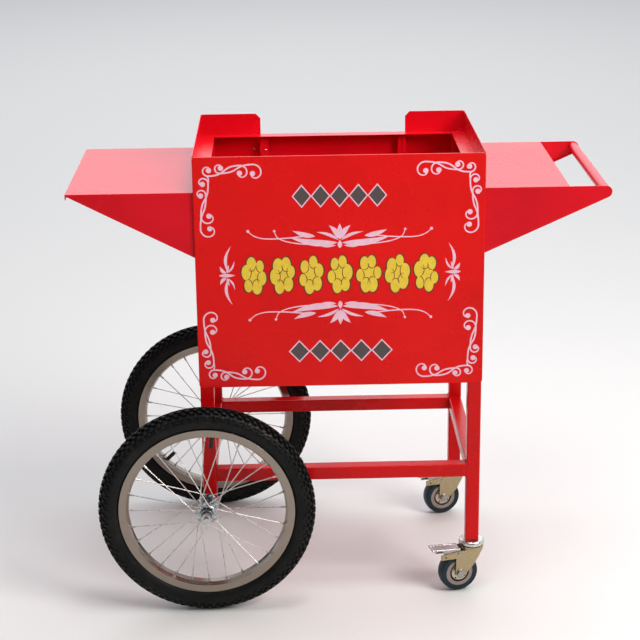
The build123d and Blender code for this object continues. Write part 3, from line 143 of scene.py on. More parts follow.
# ------------------------------------------------------------------ materials
class Nodes:
    """Short names for building a node tree."""

    def __init__(self, name):
        self.material = bpy.data.materials.new(name)
        self.material.use_nodes = True
        self.tree = self.material.node_tree
        self.shader = self.tree.nodes["Principled BSDF"]
        self.place = self.tree.nodes.new("ShaderNodeTexCoord").outputs["Object"]

    def add(self, kind, **values):
        node = self.tree.nodes.new(kind)
        for key, value in values.items():
            setattr(node, key, value)
        return node

    def link(self, source, target):
        self.tree.links.new(source, target)

    def set(self, **values):
        for key, value in values.items():
            self.shader.inputs[key].default_value = value

    def stretched(self, scale):
        """The object's own place, stretched along its axes."""
        mapping = self.add("ShaderNodeMapping")
        mapping.inputs["Scale"].default_value = scale
        self.link(self.place, mapping.inputs["Vector"])
        return mapping.outputs["Vector"]

    def noise(self, scale, detail=3.0, roughness=0.55, stretch=None):
        node = self.add("ShaderNodeTexNoise")
        node.inputs["Scale"].default_value = scale
        node.inputs["Detail"].default_value = detail
        node.inputs["Roughness"].default_value = roughness
        self.link(self.stretched(stretch) if stretch else self.place, node.inputs["Vector"])
        return node.outputs["Fac"]

    def dots(self, scale):
        """How far a place is from the nearest of many scattered points."""
        node = self.add("ShaderNodeTexVoronoi")
        node.inputs["Scale"].default_value = scale
        self.link(self.place, node.inputs["Vector"])
        return node.outputs["Distance"]

    def ramp(self, source, stops):
        """Colours at places along a 0 to 1 value; a number stands for a grey."""
        node = self.add("ShaderNodeValToRGB")
        elements = node.color_ramp.elements
        while len(elements) < len(stops):
            elements.new(0.5)
        for element, (position, value) in zip(elements, stops):
            element.position = position
            colour = value if isinstance(value, tuple) else (value, value, value)
            element.color = (*colour, 1.0)
        self.link(source, node.inputs["Fac"])
        return node.outputs["Color"]

    def product(self, first, second):
        node = self.add("ShaderNodeMath", operation="MULTIPLY")
        self.link(first, node.inputs[0])
        self.link(second, node.inputs[1])
        return node.outputs[0]

    def mix(self, amount, tone, plain):
        """A tone that gives way to a plain colour, by an amount."""
        node = self.add("ShaderNodeMix", data_type="RGBA")
        amount_in, tone_in, plain_in = node.inputs[0], node.inputs[6], node.inputs[7]
        self.link(amount, amount_in)
        self.link(tone, tone_in)
        plain_in.default_value = (*plain, 1.0)
        return node.outputs[2]

    def colour(self, source):
        self.link(source, self.shader.inputs["Base Color"])

    def roughness(self, source):
        self.link(source, self.shader.inputs["Roughness"])

    def bump(self, layers):
        """Bumps one over another, each as (height source, strength, depth in metres)."""
        previous = None
        for source, strength, depth in layers:
            node = self.add("ShaderNodeBump")
            node.inputs["Strength"].default_value = strength
            node.inputs["Distance"].default_value = depth
            self.link(source, node.inputs["Height"])
            if previous:
                self.link(previous, node.inputs["Normal"])
            previous = node.outputs["Normal"]
        self.link(previous, self.shader.inputs["Normal"])


def powder_coat(name, base, rough, top_painted_reflection=1.0):
    """Gloss powder coat: faint cloudiness, orange peel, a few dust nibs, handling smudges.

    Painted reflection and shade: faces that look upward get more specular than upright ones, standing in for
    the brighter reflection that tops catch; a low top value instead stands in for shade on tops.
    """
    n = Nodes(name)
    cloud = n.noise(5.0, 4.0)
    deep = tuple(c * 0.86 for c in base)
    light = (min(1.0, base[0] * 1.08), base[1] * 1.3, base[2] * 1.3)
    tone = n.ramp(cloud, [(0.30, deep), (0.52, base), (0.74, light)])
    specks = n.ramp(n.dots(58.0), [(0.0, 1.0), (0.016, 0.0)])
    pick = n.ramp(n.noise(9.0, 2.0), [(0.60, 0.0), (0.66, 1.0)])
    n.colour(n.mix(n.product(specks, pick), tone, (0.60, 0.10, 0.09)))
    smudge = n.noise(3.2, 6.0, 0.66)
    n.roughness(n.ramp(smudge, [(0.34, rough - 0.07), (0.55, rough), (0.78, rough + 0.14)]))
    # Painted reflection: the specular level follows how far a face looks upward, not the paint itself.
    upward = n.add("ShaderNodeSeparateXYZ")
    n.link(n.add("ShaderNodeNewGeometry").outputs["Normal"], upward.inputs[0])
    painted_reflection = n.add("ShaderNodeMapRange")
    side_painted_reflection = 0.17
    for key, value in (("From Min", 0.35), ("From Max", 0.9), ("To Min", side_painted_reflection), ("To Max", top_painted_reflection)):
        painted_reflection.inputs[key].default_value = value
    n.link(upward.outputs["Z"], painted_reflection.inputs["Value"])
    n.link(painted_reflection.outputs["Result"], n.shader.inputs["Specular IOR Level"])
    n.set(IOR=1.5)
    peel = n.noise(330.0, 2.0)
    sag = n.noise(26.0, 2.0)
    n.bump([(sag, 0.10, 0.0012), (peel, 0.16, 0.00018)])
    return n.material


def plated(name, base, rough, stain, spangle=0.20, patchy=1.0):
    """Zinc or nickel plate: spangled tone, stains, fine scratches.

    Patchy scales how much the roughness wanders and how deep the scratches go.
    """
    n = Nodes(name)
    cloud = n.noise(85.0, 5.0, 0.62)
    dark = tuple(c * (1 - spangle) for c in base)
    light = tuple(min(1.0, c * (1 + spangle / 2)) for c in base)
    tone = n.ramp(cloud, [(0.28, dark), (0.50, base), (0.72, light)])
    blot = n.ramp(n.noise(36.0, 3.0), [(0.55, 0.0), (0.80, 0.5)])
    n.colour(n.mix(blot, tone, stain))
    n.roughness(n.ramp(n.noise(140.0, 3.0), [(0.3, rough - 0.08 * patchy), (0.7, rough + 0.12 * patchy)]))
    n.set(Metallic=1.0)
    scratch = n.noise(900.0, 2.0, 0.6, (1.0, 1.0, 0.15))
    n.bump([(cloud, 0.5 * spangle, 0.0002), (scratch, 0.03 * patchy, 0.00005)])
    return n.material


def tyre_rubber():
    """Black moulded rubber with pale dust in patches and a faint mould grain."""
    n = Nodes("tyre_rubber")
    dust = n.ramp(n.noise(23.0, 6.0, 0.7), [(0.50, 0.0), (0.80, 0.55)])
    fine = n.ramp(n.noise(420.0, 2.0), [(0.45, 0.0), (0.75, 1.0)])
    black = n.ramp(n.noise(60.0, 4.0), [(0.3, (0.003, 0.003, 0.0031)), (0.7, (0.0065, 0.0065, 0.006))])
    n.colour(n.mix(n.product(dust, fine), black, (0.085, 0.078, 0.068)))
    n.roughness(n.ramp(n.noise(48.0, 4.0), [(0.3, 0.34), (0.7, 0.58)]))
    n.set(IOR=1.27)
    n.bump([(n.noise(520.0, 2.0), 0.22, 0.00025)])
    return n.material


def moulded(name, base, rough, grain=420.0, depth=0.00012, mottling=0.16):
    """Moulded plastic or soft rubber: gentle mottling, fine grain, rubbed patches."""
    n = Nodes(name)
    dark = tuple(c * (1 - mottling) for c in base)
    light = tuple(min(1.0, c * (1 + mottling) + 0.004) for c in base)
    n.colour(n.ramp(n.noise(55.0, 5.0, 0.6), [(0.30, dark), (0.5, base), (0.72, light)]))
    n.roughness(n.ramp(n.noise(34.0, 4.0), [(0.32, rough - 0.07), (0.7, rough + 0.13)]))
    n.set(IOR=1.36)
    n.bump([(n.noise(grain, 3.0), 0.25, depth)])
    return n.material


def decal(name, base):
    """Printed vinyl film: slight ink mottling and a soft sheen."""
    n = Nodes(name)
    rough = 0.42
    dark = tuple(c * 0.90 for c in base)
    n.colour(n.ramp(n.noise(120.0, 4.0, 0.6), [(0.35, dark), (0.60, base)]))
    n.roughness(n.ramp(n.noise(20.0, 3.0), [(0.3, rough - 0.05), (0.7, rough + 0.08)]))
    n.bump([(n.noise(300.0, 2.0), 0.10, 0.0001)])
    return n.material


def make_materials():
    """Every finish on the cart, by name."""
    return {
        "print_red": powder_coat("red_panel_film", (0.70, 0.0040, 0.0032), 0.30),
        "cabinet": powder_coat("red_cabinet_paint", (0.66, 0.0030, 0.0110), 0.27),
        "bracket": powder_coat("red_bracket_paint", (0.64, 0.0030, 0.0110), 0.25, top_painted_reflection=0.96),
        # The low top value dulls the frame tubes' tops: painted shade where the cabinet above shades them.
        "tube": powder_coat("red_frame_paint", (0.61, 0.0030, 0.0040), 0.28, top_painted_reflection=0.34),
        "tyre": tyre_rubber(),
        "inner_tube": moulded("tube_rubber", (0.014, 0.014, 0.014), 0.5),
        "rim": plated("rim_plate", (0.29, 0.245, 0.205), 0.22, (0.26, 0.215, 0.175), 0.03, 0.1),
        "spoke": plated("spoke_plate", (0.66, 0.65, 0.62), 0.30, (0.42, 0.40, 0.36)),
        "hub": plated("hub_zinc", (0.36, 0.385, 0.40), 0.19, (0.24, 0.26, 0.28), 0.12),
        "axle": plated("axle_zinc", (0.50, 0.50, 0.49), 0.28, (0.30, 0.29, 0.27)),
        "hardware": plated("hardware_zinc", (0.62, 0.62, 0.60), 0.34, (0.40, 0.39, 0.36)),
        "fork": plated("fork_yellow_zinc", (0.40, 0.33, 0.195), 0.27, (0.36, 0.295, 0.17), 0.05, 0.5),
        "bolt": plated("bolt_zinc", (0.37, 0.35, 0.32), 0.26, (0.24, 0.22, 0.19)),
        # Also used on the pedals' rolled edges, lighter than the pedal's own zinc: a painted highlight along
        # the edge.
        "race": plated("race_zinc_and_edge_highlight", (0.64, 0.63, 0.62), 0.25, (0.40, 0.39, 0.38)),
        "pedal": plated("pedal_zinc", (0.43, 0.39, 0.385), 0.31, (0.34, 0.30, 0.29), 0.08, 0.5),
        "cover": plated("cover_zinc", (0.56, 0.50, 0.40), 0.33, (0.38, 0.32, 0.22)),
        "tread": moulded("tread_blue_rubber", (0.005, 0.020, 0.027), 0.42),
        "core": moulded("core_nylon", (0.30, 0.235, 0.21), 0.48, mottling=0.10),
        "dark": moulded("dark_plastic", (0.018, 0.016, 0.016), 0.45),
        "insert": moulded("insert_plastic", (0.30, 0.008, 0.012), 0.38),
        "knob": moulded("knob_plastic", (0.012, 0.012, 0.013), 0.24, grain=200.0, depth=0.00003),
        "pale_ink": decal("decal_pale", (0.86, 0.53, 0.64)),
        "yellow_ink": decal("decal_yellow", (0.80, 0.56, 0.035)),
        "line_ink": decal("decal_outline", (0.15, 0.010, 0.004)),
        "grey_ink": decal("decal_grey", (0.075, 0.055, 0.052)),
    }


MATERIALS = make_materials()


def paint_nodes():
    """Gives each CAD node its finish."""
    finishes = {
        "print_red": ("front_panel",),
        "cabinet": (
            "left_side_panel", "right_side_panel", "rear_left_panel",
            "rear_right_panel", "rear_sill", "ledge_frame", "cabinet_floor", "rear_door",
        ),
        "bracket": ("left_shelf", "handle_bracket", "handle_tube"),
        "tube": (
            "front_left_leg", "back_left_leg", "front_right_leg", "back_right_leg",
            "front_stretcher", "back_stretcher", "left_stretcher", "right_stretcher",
        ),
        "knob": ("door_knob",),
        "dark": ("door_catch",),
        "insert": ("leg_inserts",),
        "hardware": (
            "bracket_bolts", "bracket_nuts", "hinge_frame_leaves", "hinge_door_leaves",
            "hinge_pins", "hinge_frame_rivets", "hinge_door_rivets", "door_strike",
            "caster_stems",
        ),
        "bolt": ("front_caster_axle", "back_caster_axle"),
        "axle": ("wheel_axles", "hub_cones", "hub_balls", "axle_nuts", "axle_washers"),
        "race": ("caster_races",),
        "inner_tube": ("front_inner_tube", "back_inner_tube"),
        "tyre": ("front_tyre", "back_tyre"),
        "rim": ("front_rim", "back_rim"),
        "spoke": ("front_spokes", "back_spokes", "front_nipples", "back_nipples"),
        "hub": ("front_hub", "back_hub"),
        "fork": ("front_caster_fork", "back_caster_fork"),
        "pedal": ("front_caster_pedal", "back_caster_pedal"),
        "tread": ("front_caster_tread", "back_caster_tread"),
        "core": ("front_caster_core", "back_caster_core"),
    }
    for finish, names in finishes.items():
        for name in names:
            for slot in NODES[name].material_slots:
                slot.material = MATERIALS[finish]


# ------------------------------------------------------------------ mesh helpers
def add_piece(name, shape, body, finish, slot, smooth=False):
    """Makes a shape a piece of its own, on a body."""
    mesh = bpy.data.meshes.new(name)
    mesh.from_pydata([tuple(v) for v in shape.verts], [], shape.faces)
    mesh.validate()
    bm = bmesh.new()
    bm.from_mesh(mesh)
    bmesh.ops.remove_doubles(bm, verts=bm.verts, dist=1e-7)
    bmesh.ops.recalc_face_normals(bm, faces=bm.faces)
    bm.to_mesh(mesh)
    bm.free()
    for polygon in mesh.polygons:
        polygon.use_smooth = smooth
    mesh.materials.append(MATERIALS[finish])
    piece = bpy.data.objects.new(name, mesh)
    bpy.context.scene.collection.objects.link(piece)
    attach(piece, body)
    return piece


class Shape:
    """Collects vertices and faces of one piece."""

    def __init__(self):
        self.verts = []
        self.faces = []
        self.lift = 0.0

    def loop(self, points):
        start = len(self.verts)
        self.verts.extend(Vector(p) for p in points)
        return list(range(start, start + len(points)))

    def skin(self, first, second, closed=True):
        """Quads between two loops of one length."""
        count = len(first)
        for i in range(count if closed else count - 1):
            j = (i + 1) % count
            self.faces.append((first[i], first[j], second[j], second[i]))

    def plate(self, outline, lower, upper):
        """Flat plate on the front panel, from a loop of (x, z), between two heights off it."""
        self.lift += INK_STEP
        upper += self.lift
        back = self.loop([(x, FRONT_FACE - lower, z) for x, z in outline])
        face = self.loop([(x, FRONT_FACE - upper, z) for x, z in outline])
        self.skin(back, face)
        self.faces.append(tuple(face))
        self.faces.append(tuple(reversed(back)))

    def ribbon(self, points, widths, lower, upper):
        """A line on the front panel, through (x, z) points, each with its own width."""
        self.lift += INK_STEP
        upper += self.lift
        left, right = [], []
        for i, point in enumerate(points):
            ahead = points[min(i + 1, len(points) - 1)]
            behind = points[max(i - 1, 0)]
            along = Vector((ahead[0] - behind[0], ahead[1] - behind[1]))
            if along.length < 1e-9:
                # Both neighbours lie at one place, so there is no direction to draw in.
                continue
            side = Vector((-along.y, along.x)).normalized() * widths[i] / 2
            left.append((point[0] + side.x, point[1] + side.y))
            right.append((point[0] - side.x, point[1] - side.y))
        previous = None
        for (xa, za), (xb, zb) in zip(left, right):
            ring = self.loop([
                (xa, FRONT_FACE - upper, za), (xb, FRONT_FACE - upper, zb),
                (xb, FRONT_FACE - lower, zb), (xa, FRONT_FACE - lower, za),
            ])
            if previous:
                self.skin(previous, ring)
            else:
                self.faces.append(tuple(ring))
            previous = ring
        self.faces.append(tuple(reversed(previous)))

    def disc(self, centre, radius, lower, upper, count=20):
        turns = [2 * math.pi * i / count for i in range(count)]
        edge = [(centre[0] + radius * math.cos(a), centre[1] + radius * math.sin(a)) for a in turns]
        self.plate(edge, lower, upper)


def smooth_path(points, steps):
    """A Catmull-Rom curve through points in the plane, each span in a number of steps."""
    padded = [points[0], *points, points[-1]]
    path = []
    for i in range(1, len(padded) - 2):
        p0, p1, p2, p3 = (Vector(padded[k]) for k in (i - 1, i, i + 1, i + 2))
        for s in range(steps):
            t = s / steps
            path.append(
                0.5
                * (
                    2 * p1
                    + (p2 - p0) * t
                    + (2 * p0 - 5 * p1 + 4 * p2 - p3) * t * t
                    + (3 * p1 - p0 - 3 * p2 + p3) * t * t * t
                )
            )
    path.append(Vector(points[-1]))
    return path


# ------------------------------------------------------------------ printed front
def spiral(centre, outer, inner, enter, sweep):
    """Points winding in from the outer radius, from an angle, through a signed sweep."""
    points = []
    steps = 18
    for i in range(steps + 1):
        part = i / steps
        reach = outer + (inner - outer) * part
        angle = enter + sweep * part
        points.append(Vector((centre[0] + reach * math.cos(angle), centre[1] + reach * math.sin(angle))))
    return points


def stem_between(start, end):
    """Points of a curve from start to end, both left out, level with the arm at either end."""
    pull = Vector((0.62 * (end.x - start.x), 0))
    steps = 18
    points = []
    for k in range(1, steps):
        t = k / steps
        points.append(
            (1 - t) ** 3 * start
            + 3 * (1 - t) ** 2 * t * (start + pull)
            + 3 * (1 - t) * t * t * (end - pull)
            + t ** 3 * end
        )
    return points


def corner_scroll(shape, corner, right, up):
    """Two arms of interlaced stems that wind round beads, from one corner of the panel.

    right and up are +1 or -1 and point from the corner into the panel. Places are in
    millimetres: along the arm, and inward from the panel's edge. Near and far are the
    ends of an arm along it, inset and drop how far inward its two ends lie.
    """
    quarter = math.pi / 2
    bead_radius = 4.7 * MM
    # How far a bead lies from its spiral's middle toward the stem's tip.
    bead_share = 0.55
    arms = (
        (False, 27.0, 109.0, 21.0, 29.0),
        (True, 46.0, 132.0, 15.0, 27.0),
    )
    for upright, near, far, inset, drop in arms:

        def place(p, upright=upright):
            x, z = (p[1], p[0]) if upright else (p[0], p[1])
            return (corner[0] + right * x * MM, corner[1] + up * z * MM)

        for first, first_radius, last, last_radius in (
            ((near, inset + 3), 9.8, (far - 23, drop), 13.5),
            ((near + 21, inset - 1), 9.2, (far, drop + 1), 16.0),
        ):
            start = spiral(first, first_radius, 4.4, quarter, 2.95 * quarter)
            end = spiral(last, last_radius, 4.6, -quarter, 2.9 * quarter)
            line = start[::-1] + stem_between(start[0], end[0]) + end
            count = len(line)
            widths = [(2.0 + 0.9 * math.sin(math.pi * i / count)) * MM for i in range(count)]
            shape.ribbon([place(p) for p in line], widths, INK_LOW, INK_HIGH)
            for centre, tip in ((first, start[-1]), (last, end[-1])):
                bead = Vector(centre) * (1 - bead_share) + tip * bead_share
                shape.disc(place(bead), bead_radius, INK_LOW, INK_HIGH, 28)
    # The short line that joins the two arms at the corner.
    knee = smooth_path([(26.0, 34.0), (28.4, 38.0), (28.4, 45.0)], 8)
    knee = [(corner[0] + right * p[0] * MM, corner[1] + up * p[1] * MM) for p in knee]
    shape.ribbon(knee, [2.4 * MM] * len(knee), INK_LOW, INK_HIGH)


def leaf(start, tip, bulge, bend):
    """Outline of a pointed leaf from start to tip, bulge wide, bent sideways."""
    start, tip = Vector(start), Vector(tip)
    along = tip - start
    side = Vector((-along.y, along.x)).normalized()
    count = 12
    left, right = [], []
    for i in range(count + 1):
        t = i / count
        middle = start + along * t + side * bend * math.sin(math.pi * t)
        half = bulge * math.sin(math.pi * t ** 0.8) * 0.5
        left.append(middle + side * half)
        right.append(middle - side * half)
    return left + right[-2:0:-1]


def flourish(shape, centre, way):
    """A palmette with a pair of long wings, way +1 or -1 for its upright direction."""

    def place(p):
        return (centre[0] + p[0] * MM, centre[1] + way * p[1] * MM)

    def petal(start, tip, bulge, bend):
        shape.plate([place(p) for p in leaf(start, tip, bulge, bend)], INK_LOW, INK_HIGH)

    def tendril(points, wide, taper, end, bead):
        """A tapering line through points, with a round bead at its end."""
        path = smooth_path(points, 9)
        widths = [(wide - taper * i / len(path)) * MM for i in range(len(path))]
        shape.ribbon([place(p) for p in path], widths, INK_LOW, INK_HIGH)
        shape.disc(place(end), bead * MM, INK_LOW, INK_HIGH)

    petal((0, -2), (0, 27), 11, 0)
    petal((0, -18), (0, -3), 8, 0)
    for side in (-1, 1):
        petal((side * 3, 0), (side * 19, 24), 9, side * 3)
        petal((side * 2, -3), (side * 42, 12), 5.5, side * 3)
        petal((side * 4, -8), (side * 90, 3), 12, side * -5)
        petal((side * 44, 4), (side * 84, 15), 9, side * -2)
        petal((side * 7, -13), (side * 46, -8), 5.5, side * -3)
        upper = [(side * x, z) for x, z in ((60, 5), (96, 1.5), (132, 1), (152, 6), (163, 15))]
        tendril(upper, 2.6, 1.2, (side * 163.5, 15.5), 2.6)
        lower = [(side * x, z) for x, z in ((30, -9), (62, -10), (94, -5), (111, 3), (116, 14))]
        tendril(lower, 2.5, 1.1, (side * 116.5, 15), 2.3)


def side_spray(shape, centre, way):
    """An upright crescent with a little spray of leaves at its middle, way +1 opens right."""

    def petal(start, tip, bulge, bend):
        outline = leaf(start, tip, bulge, bend)
        outline = [(centre[0] + way * p[0] * MM, centre[1] + p[1] * MM) for p in outline]
        shape.plate(outline, INK_LOW, INK_HIGH)

    for up in (-1, 1):
        petal((2, up * 6), (9, up * 55), 5.5, up * 7)
        petal((1, up * 5), (14, up * 27), 3.6, up * -3)
        petal((-1, up * 4), (-12, up * 17), 6.0, up * 2)
        petal((0, up * 5), (4, up * 20), 4.0, 0)
    petal((-14, 0), (15, 0), 6.5, 0)


def kernel_lobes(seed):
    """The round lobes of one popped kernel, as (x, z, radius), in a circle of radius 1."""
    rng = random.Random(seed)
    count = 6
    lobes = [(rng.uniform(-0.06, 0.06), rng.uniform(-0.06, 0.06), 0.52)]
    phase = rng.uniform(0, 2 * math.pi)
    for i in range(count):
        angle = phase + 2 * math.pi * i / count + rng.uniform(-0.12, 0.12)
        radius = rng.uniform(0.31, 0.42)
        reach = 1.0 - radius
        lobes.append((reach * math.cos(angle), reach * math.sin(angle), radius))
    return lobes


def kernel_outline(lobes, centre, half_width, half_height, grow):
    """The edge of all the lobes together, moved outward by an amount."""
    outline = []
    count = 132
    for i in range(count):
        angle = 2 * math.pi * i / count
        way = Vector((math.cos(angle), math.sin(angle)))
        reach = 0.2
        for x, z, radius in lobes:
            middle = Vector((x, z))
            along = middle.dot(way)
            off = middle.length_squared - along * along
            if radius * radius > off:
                reach = max(reach, along + math.sqrt(radius * radius - off))
        point = Vector((centre[0] + way.x * reach * half_width, centre[1] + way.y * reach * half_height))
        out = Vector((way.x / half_width, way.y / half_height)).normalized()
        outline.append(tuple(point + out * grow))
    return outline


def make_print():
    """The printed decoration: scrolls, flourishes, a row of kernels and two rows of lozenges."""
    low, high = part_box("front_panel")
    pale = Shape()
    corners = (
        (1, -1, (low.x, high.z)),
        (-1, -1, (high.x, high.z)),
        (1, 1, (low.x, low.z)),
        (-1, 1, (high.x, low.z)),
    )
    for right, up, corner in corners:
        corner_scroll(pale, corner, right, up)
    flourish(pale, (0.0, 0.699), 1)
    flourish(pale, (0.0, 0.564), -1)
    side_spray(pale, (-0.203, 0.633), 1)
    side_spray(pale, (0.203, 0.633), -1)

    dark, grey, yellow, lines = Shape(), Shape(), Shape(), Shape()
    kernels = 7
    kernel_z = 0.6315
    pitch = 0.0515
    half_width = 0.0225
    half_height = 0.0365
    border = 2.7 * MM
    for i in range(kernels):
        centre = ((i - kernels // 2) * pitch, kernel_z)
        lobes = kernel_lobes(21 + i)
        dark.plate(kernel_outline(lobes, centre, half_width, half_height, border), INK_LOW, INK_HIGH)
        yellow.plate(kernel_outline(lobes, centre, half_width, half_height, 0.0), INK_HIGH, INK_TOP)
        # The lobes' inner edges, drawn as short arcs.
        for x, z, radius in lobes[1:]:
            inward = math.atan2(-z, -x)
            sweep = 2.1
            arc = []
            widths = []
            for k in range(11):
                angle = inward + (k / 10 - 0.5) * sweep
                reach_x = (x + radius * 0.94 * math.cos(angle)) * half_width
                reach_z = (z + radius * 0.94 * math.sin(angle)) * half_height
                arc.append((centre[0] + reach_x, centre[1] + reach_z))
                widths.append((0.5 + 1.0 * math.sin(math.pi * k / 10)) * MM)
            lines.ribbon(arc, widths, INK_TOP, INK_LINES)
    lozenges = 5
    tall = 0.0180
    rim_scale = 1.18
    for row_z, step in ((0.777, 0.0335), (0.487, 0.0375)):
        wide = step * 0.44
        for i in range(lozenges):
            x = (i - (lozenges - 1) / 2) * step
            diamond = [(x, row_z - tall), (x + wide, row_z), (x, row_z + tall), (x - wide, row_z)]
            outer = [(x + (px - x) * rim_scale, row_z + (pz - row_z) * rim_scale) for px, pz in diamond]
            pale.plate(outer, INK_LOW, INK_HIGH)
            grey.plate(diamond, INK_HIGH, INK_TOP)
    add_piece("print_pale", pale, "frame", "pale_ink", "red_cabinet")
    add_piece("print_outline", dark, "frame", "line_ink", "red_cabinet")
    add_piece("print_lines", lines, "frame", "line_ink", "red_cabinet")
    add_piece("print_yellow", yellow, "frame", "yellow_ink", "red_cabinet")
    add_piece("print_grey", grey, "frame", "grey_ink", "red_cabinet")


# ------------------------------------------------------------------ knobbly tyres
def make_tyre(side):
    """Casing with bead ribs, staggered tread blocks and moulding hairs."""
    low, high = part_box(f"{side}_tyre")
    centre = (low + high) / 2
    outer = (high.x - low.x) / 2
    half_width = (high.y - low.y) / 2
    # The casing's section: the radius of the circle that it is centred on, and its half height and width.
    section = outer - 0.022
    section_height = 0.0164
    section_width = half_width - 0.0028
    shape = Shape()

    def spot(turn, radius, along):
        return centre + Vector((radius * math.cos(turn), along, radius * math.sin(turn)))

    def skin_at(angle, lift):
        """Place on the casing's section: (radius, along), at an angle from the crown."""
        return (
            section + (section_height + lift) * math.cos(angle),
            (section_width + lift * 0.58) * math.sin(angle),
        )

    # One side wall with its ribs, from bead to shoulder, as (radius, distance off the middle).
    wall = [
        (0.1625, 0.0125), (0.1648, 0.0150), (0.1655, 0.0162), (0.1668, 0.0162),
        (0.1678, 0.0178), (0.1690, 0.0179), (0.1700, 0.0193), (0.1713, 0.0194),
    ]
    profile = [(r, -y) for r, y in wall]
    profile += [skin_at(math.radians(a), 0.0) for a in range(-96, 97, 8)]
    profile += reversed(wall)
    profile += [(0.1600, 0.0095), (0.1600, -0.0095)]
    sections = 180
    turns = [2 * math.pi * i / sections for i in range(sections)]
    rings = [shape.loop([spot(turn, r, y) for r, y in profile]) for turn in turns]
    for first, second in zip(rings, rings[1:] + rings[:1]):
        shape.skin(first, second)
    wheel = f"{side}_wheel"
    casing = add_piece(f"{side}_tyre_casing", shape, wheel, "tyre", "tyre_rubber", True)

    knobs = Shape()
    # The edge of a knob, on a square of half side 1.
    half_edge = ((-1, -1), (-0.3, -1), (0.3, -1), (1, -1), (1, 0))
    edge = half_edge + tuple((-u, -v) for u, v in half_edge)

    def block(turn, spread, degrees, hand, skew, lift):
        """One knob on one hand of the crown: drafted walls and a slightly smaller top."""
        first_angle, last_angle = sorted(hand * math.radians(a) for a in degrees)
        middle = (first_angle + last_angle) / 2
        rows = []
        # The foot lies a little inside the casing.
        for level, shrink in ((-0.0006, 1.0), (lift * 0.84, 0.90), (lift, 0.74)):
            reach = (last_angle - first_angle) / 2 * shrink
            corners = []
            for u, v in edge:
                radius, along = skin_at(middle + v * reach, level)
                corners.append(spot(turn + u * spread * shrink / 2 + skew * v, radius, along))
            rows.append(knobs.loop(corners))
        knobs.skin(rows[0], rows[1])
        knobs.skin(rows[1], rows[2])
        knobs.faces.append(tuple(rows[2]))
        knobs.faces.append(tuple(reversed(rows[0])))

    pitches = 84
    step = 2 * math.pi / pitches
    for i in range(pitches):
        for hand in (-1, 1):
            turn = i * step + (0.5 * step if hand > 0 else 0.0)
            between = turn + 0.5 * step
            shoulder = (50, 82) if i % 2 else (58, 72)
            block(turn, step * 0.54, (3, 17), hand, hand * 0.10 * step, 0.0055)
            block(between, step * 0.52, (22, 37), hand, -hand * 0.12 * step, 0.0054)
            block(turn, step * 0.54, (42, 58), hand, hand * 0.08 * step, 0.0050)
            block(between, step * 0.42, shoulder, hand, 0.0, 0.0038)
    # Moulding hairs: thin three-sided spikes on the shoulders.
    rng = random.Random(5 if side == "front" else 9)
    hairs = 150
    hair_radius = 0.00028
    hair_length = 0.0042
    around = [Vector((math.cos(a), 0, math.sin(a))) * hair_radius for a in (0.3, 2.4, 4.5)]
    for _ in range(hairs):
        turn = rng.uniform(0, 2 * math.pi)
        hand = rng.choice((-1, 1))
        angle = hand * math.radians(rng.uniform(18, 92))
        root = spot(turn, *skin_at(angle, 0.0))
        tip_r, tip_y = skin_at(angle, hair_length)
        tip_r = min(tip_r + rng.uniform(-0.001, 0.001), outer - 0.0002)
        tip_y = max(-half_width, min(half_width, tip_y * 1.02))
        tip = spot(turn + rng.uniform(-0.006, 0.006), tip_r, tip_y)
        base = knobs.loop([root + a for a in around])
        end = knobs.loop([tip + a * 0.35 for a in around])
        knobs.skin(base, end)
        knobs.faces.append(tuple(end))
        knobs.faces.append(tuple(reversed(base)))
    add_piece(f"{side}_tyre_tread", knobs, wheel, "tyre", "tyre_rubber")
    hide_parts(f"{side}_tyre")


# ------------------------------------------------------------------ small hardware
def lathe(shape, centre, axis, profile, count=40, notch=0.0):
    """Turns a line of (radius, distance along the axis) about the axis, notched if asked.

    A line that ends on the axis makes a capped dome, and any other makes a closed ring.
    """
    side = axis.orthogonal().normalized()
    up = axis.cross(side)
    rings = []
    for radius, along in profile:
        ring = []
        for i in range(count):
            turn = 2 * math.pi * i / count
            reach = radius - (notch if i % 2 else 0.0)
            ring.append(centre + axis * along + (side * math.cos(turn) + up * math.sin(turn)) * reach)
        rings.append(shape.loop(ring))
    for first, second in zip(rings, rings[1:]):
        shape.skin(first, second)
    ends_on_axis = profile[-1][0] < 0.4 * MM
    if ends_on_axis:
        shape.faces.append(tuple(rings[-1]))
        shape.faces.append(tuple(reversed(rings[0])))
    else:
        shape.skin(rings[-1], rings[0])


def in_mm(points):
    """Pairs in millimetres, turned to metres."""
    return [(a * MM, b * MM) for a, b in points]


def soften(piece, angle=35.0):
    """Keeps edges sharper than the angle sharp on a smooth piece."""
    mesh = piece.data
    bm = bmesh.new()
    bm.from_mesh(mesh)
    for edge in bm.edges:
        edge.smooth = len(edge.link_faces) != 2 or edge.calc_face_angle(0.0) < math.radians(angle)
    bm.to_mesh(mesh)
    bm.free()


def fork_back(place):
    """The folded back of a fork: a bent sheet between the cheeks that rises away from the wheel."""
    shape = Shape()
    outer_radius, inner_radius = 16.5, 14.0
    lowest, highest, top = 55.0, 84.0, 84.2
    # The foot is level up to this far behind the swivel's axis, and then rises over this run.
    level, run = 1.5, 15.5
    rows = [[], [], [], []]
    steps = 24
    for k in range(steps + 1):
        turn = math.radians(-90 + 180 * k / steps)
        for radius, low_row, high_row in ((outer_radius, 0, 1), (inner_radius, 2, 3)):
            along = -radius * math.cos(turn)
            foot = min(highest, lowest + max(0.0, -level - along) / run * (highest - lowest))
            rows[low_row].append(place(along, radius * math.sin(turn), foot))
            rows[high_row].append(place(along, radius * math.sin(turn), top))
    outer_low, outer_high, inner_low, inner_high = (shape.loop(row) for row in rows)
    sides = (outer_low, outer_high, inner_high, inner_low)
    for first, second in zip(sides, sides[1:] + sides[:1]):
        shape.skin(first, second, closed=False)
    for index in (0, -1):
        shape.faces.append(tuple(row[index] for row in sides))
    return shape


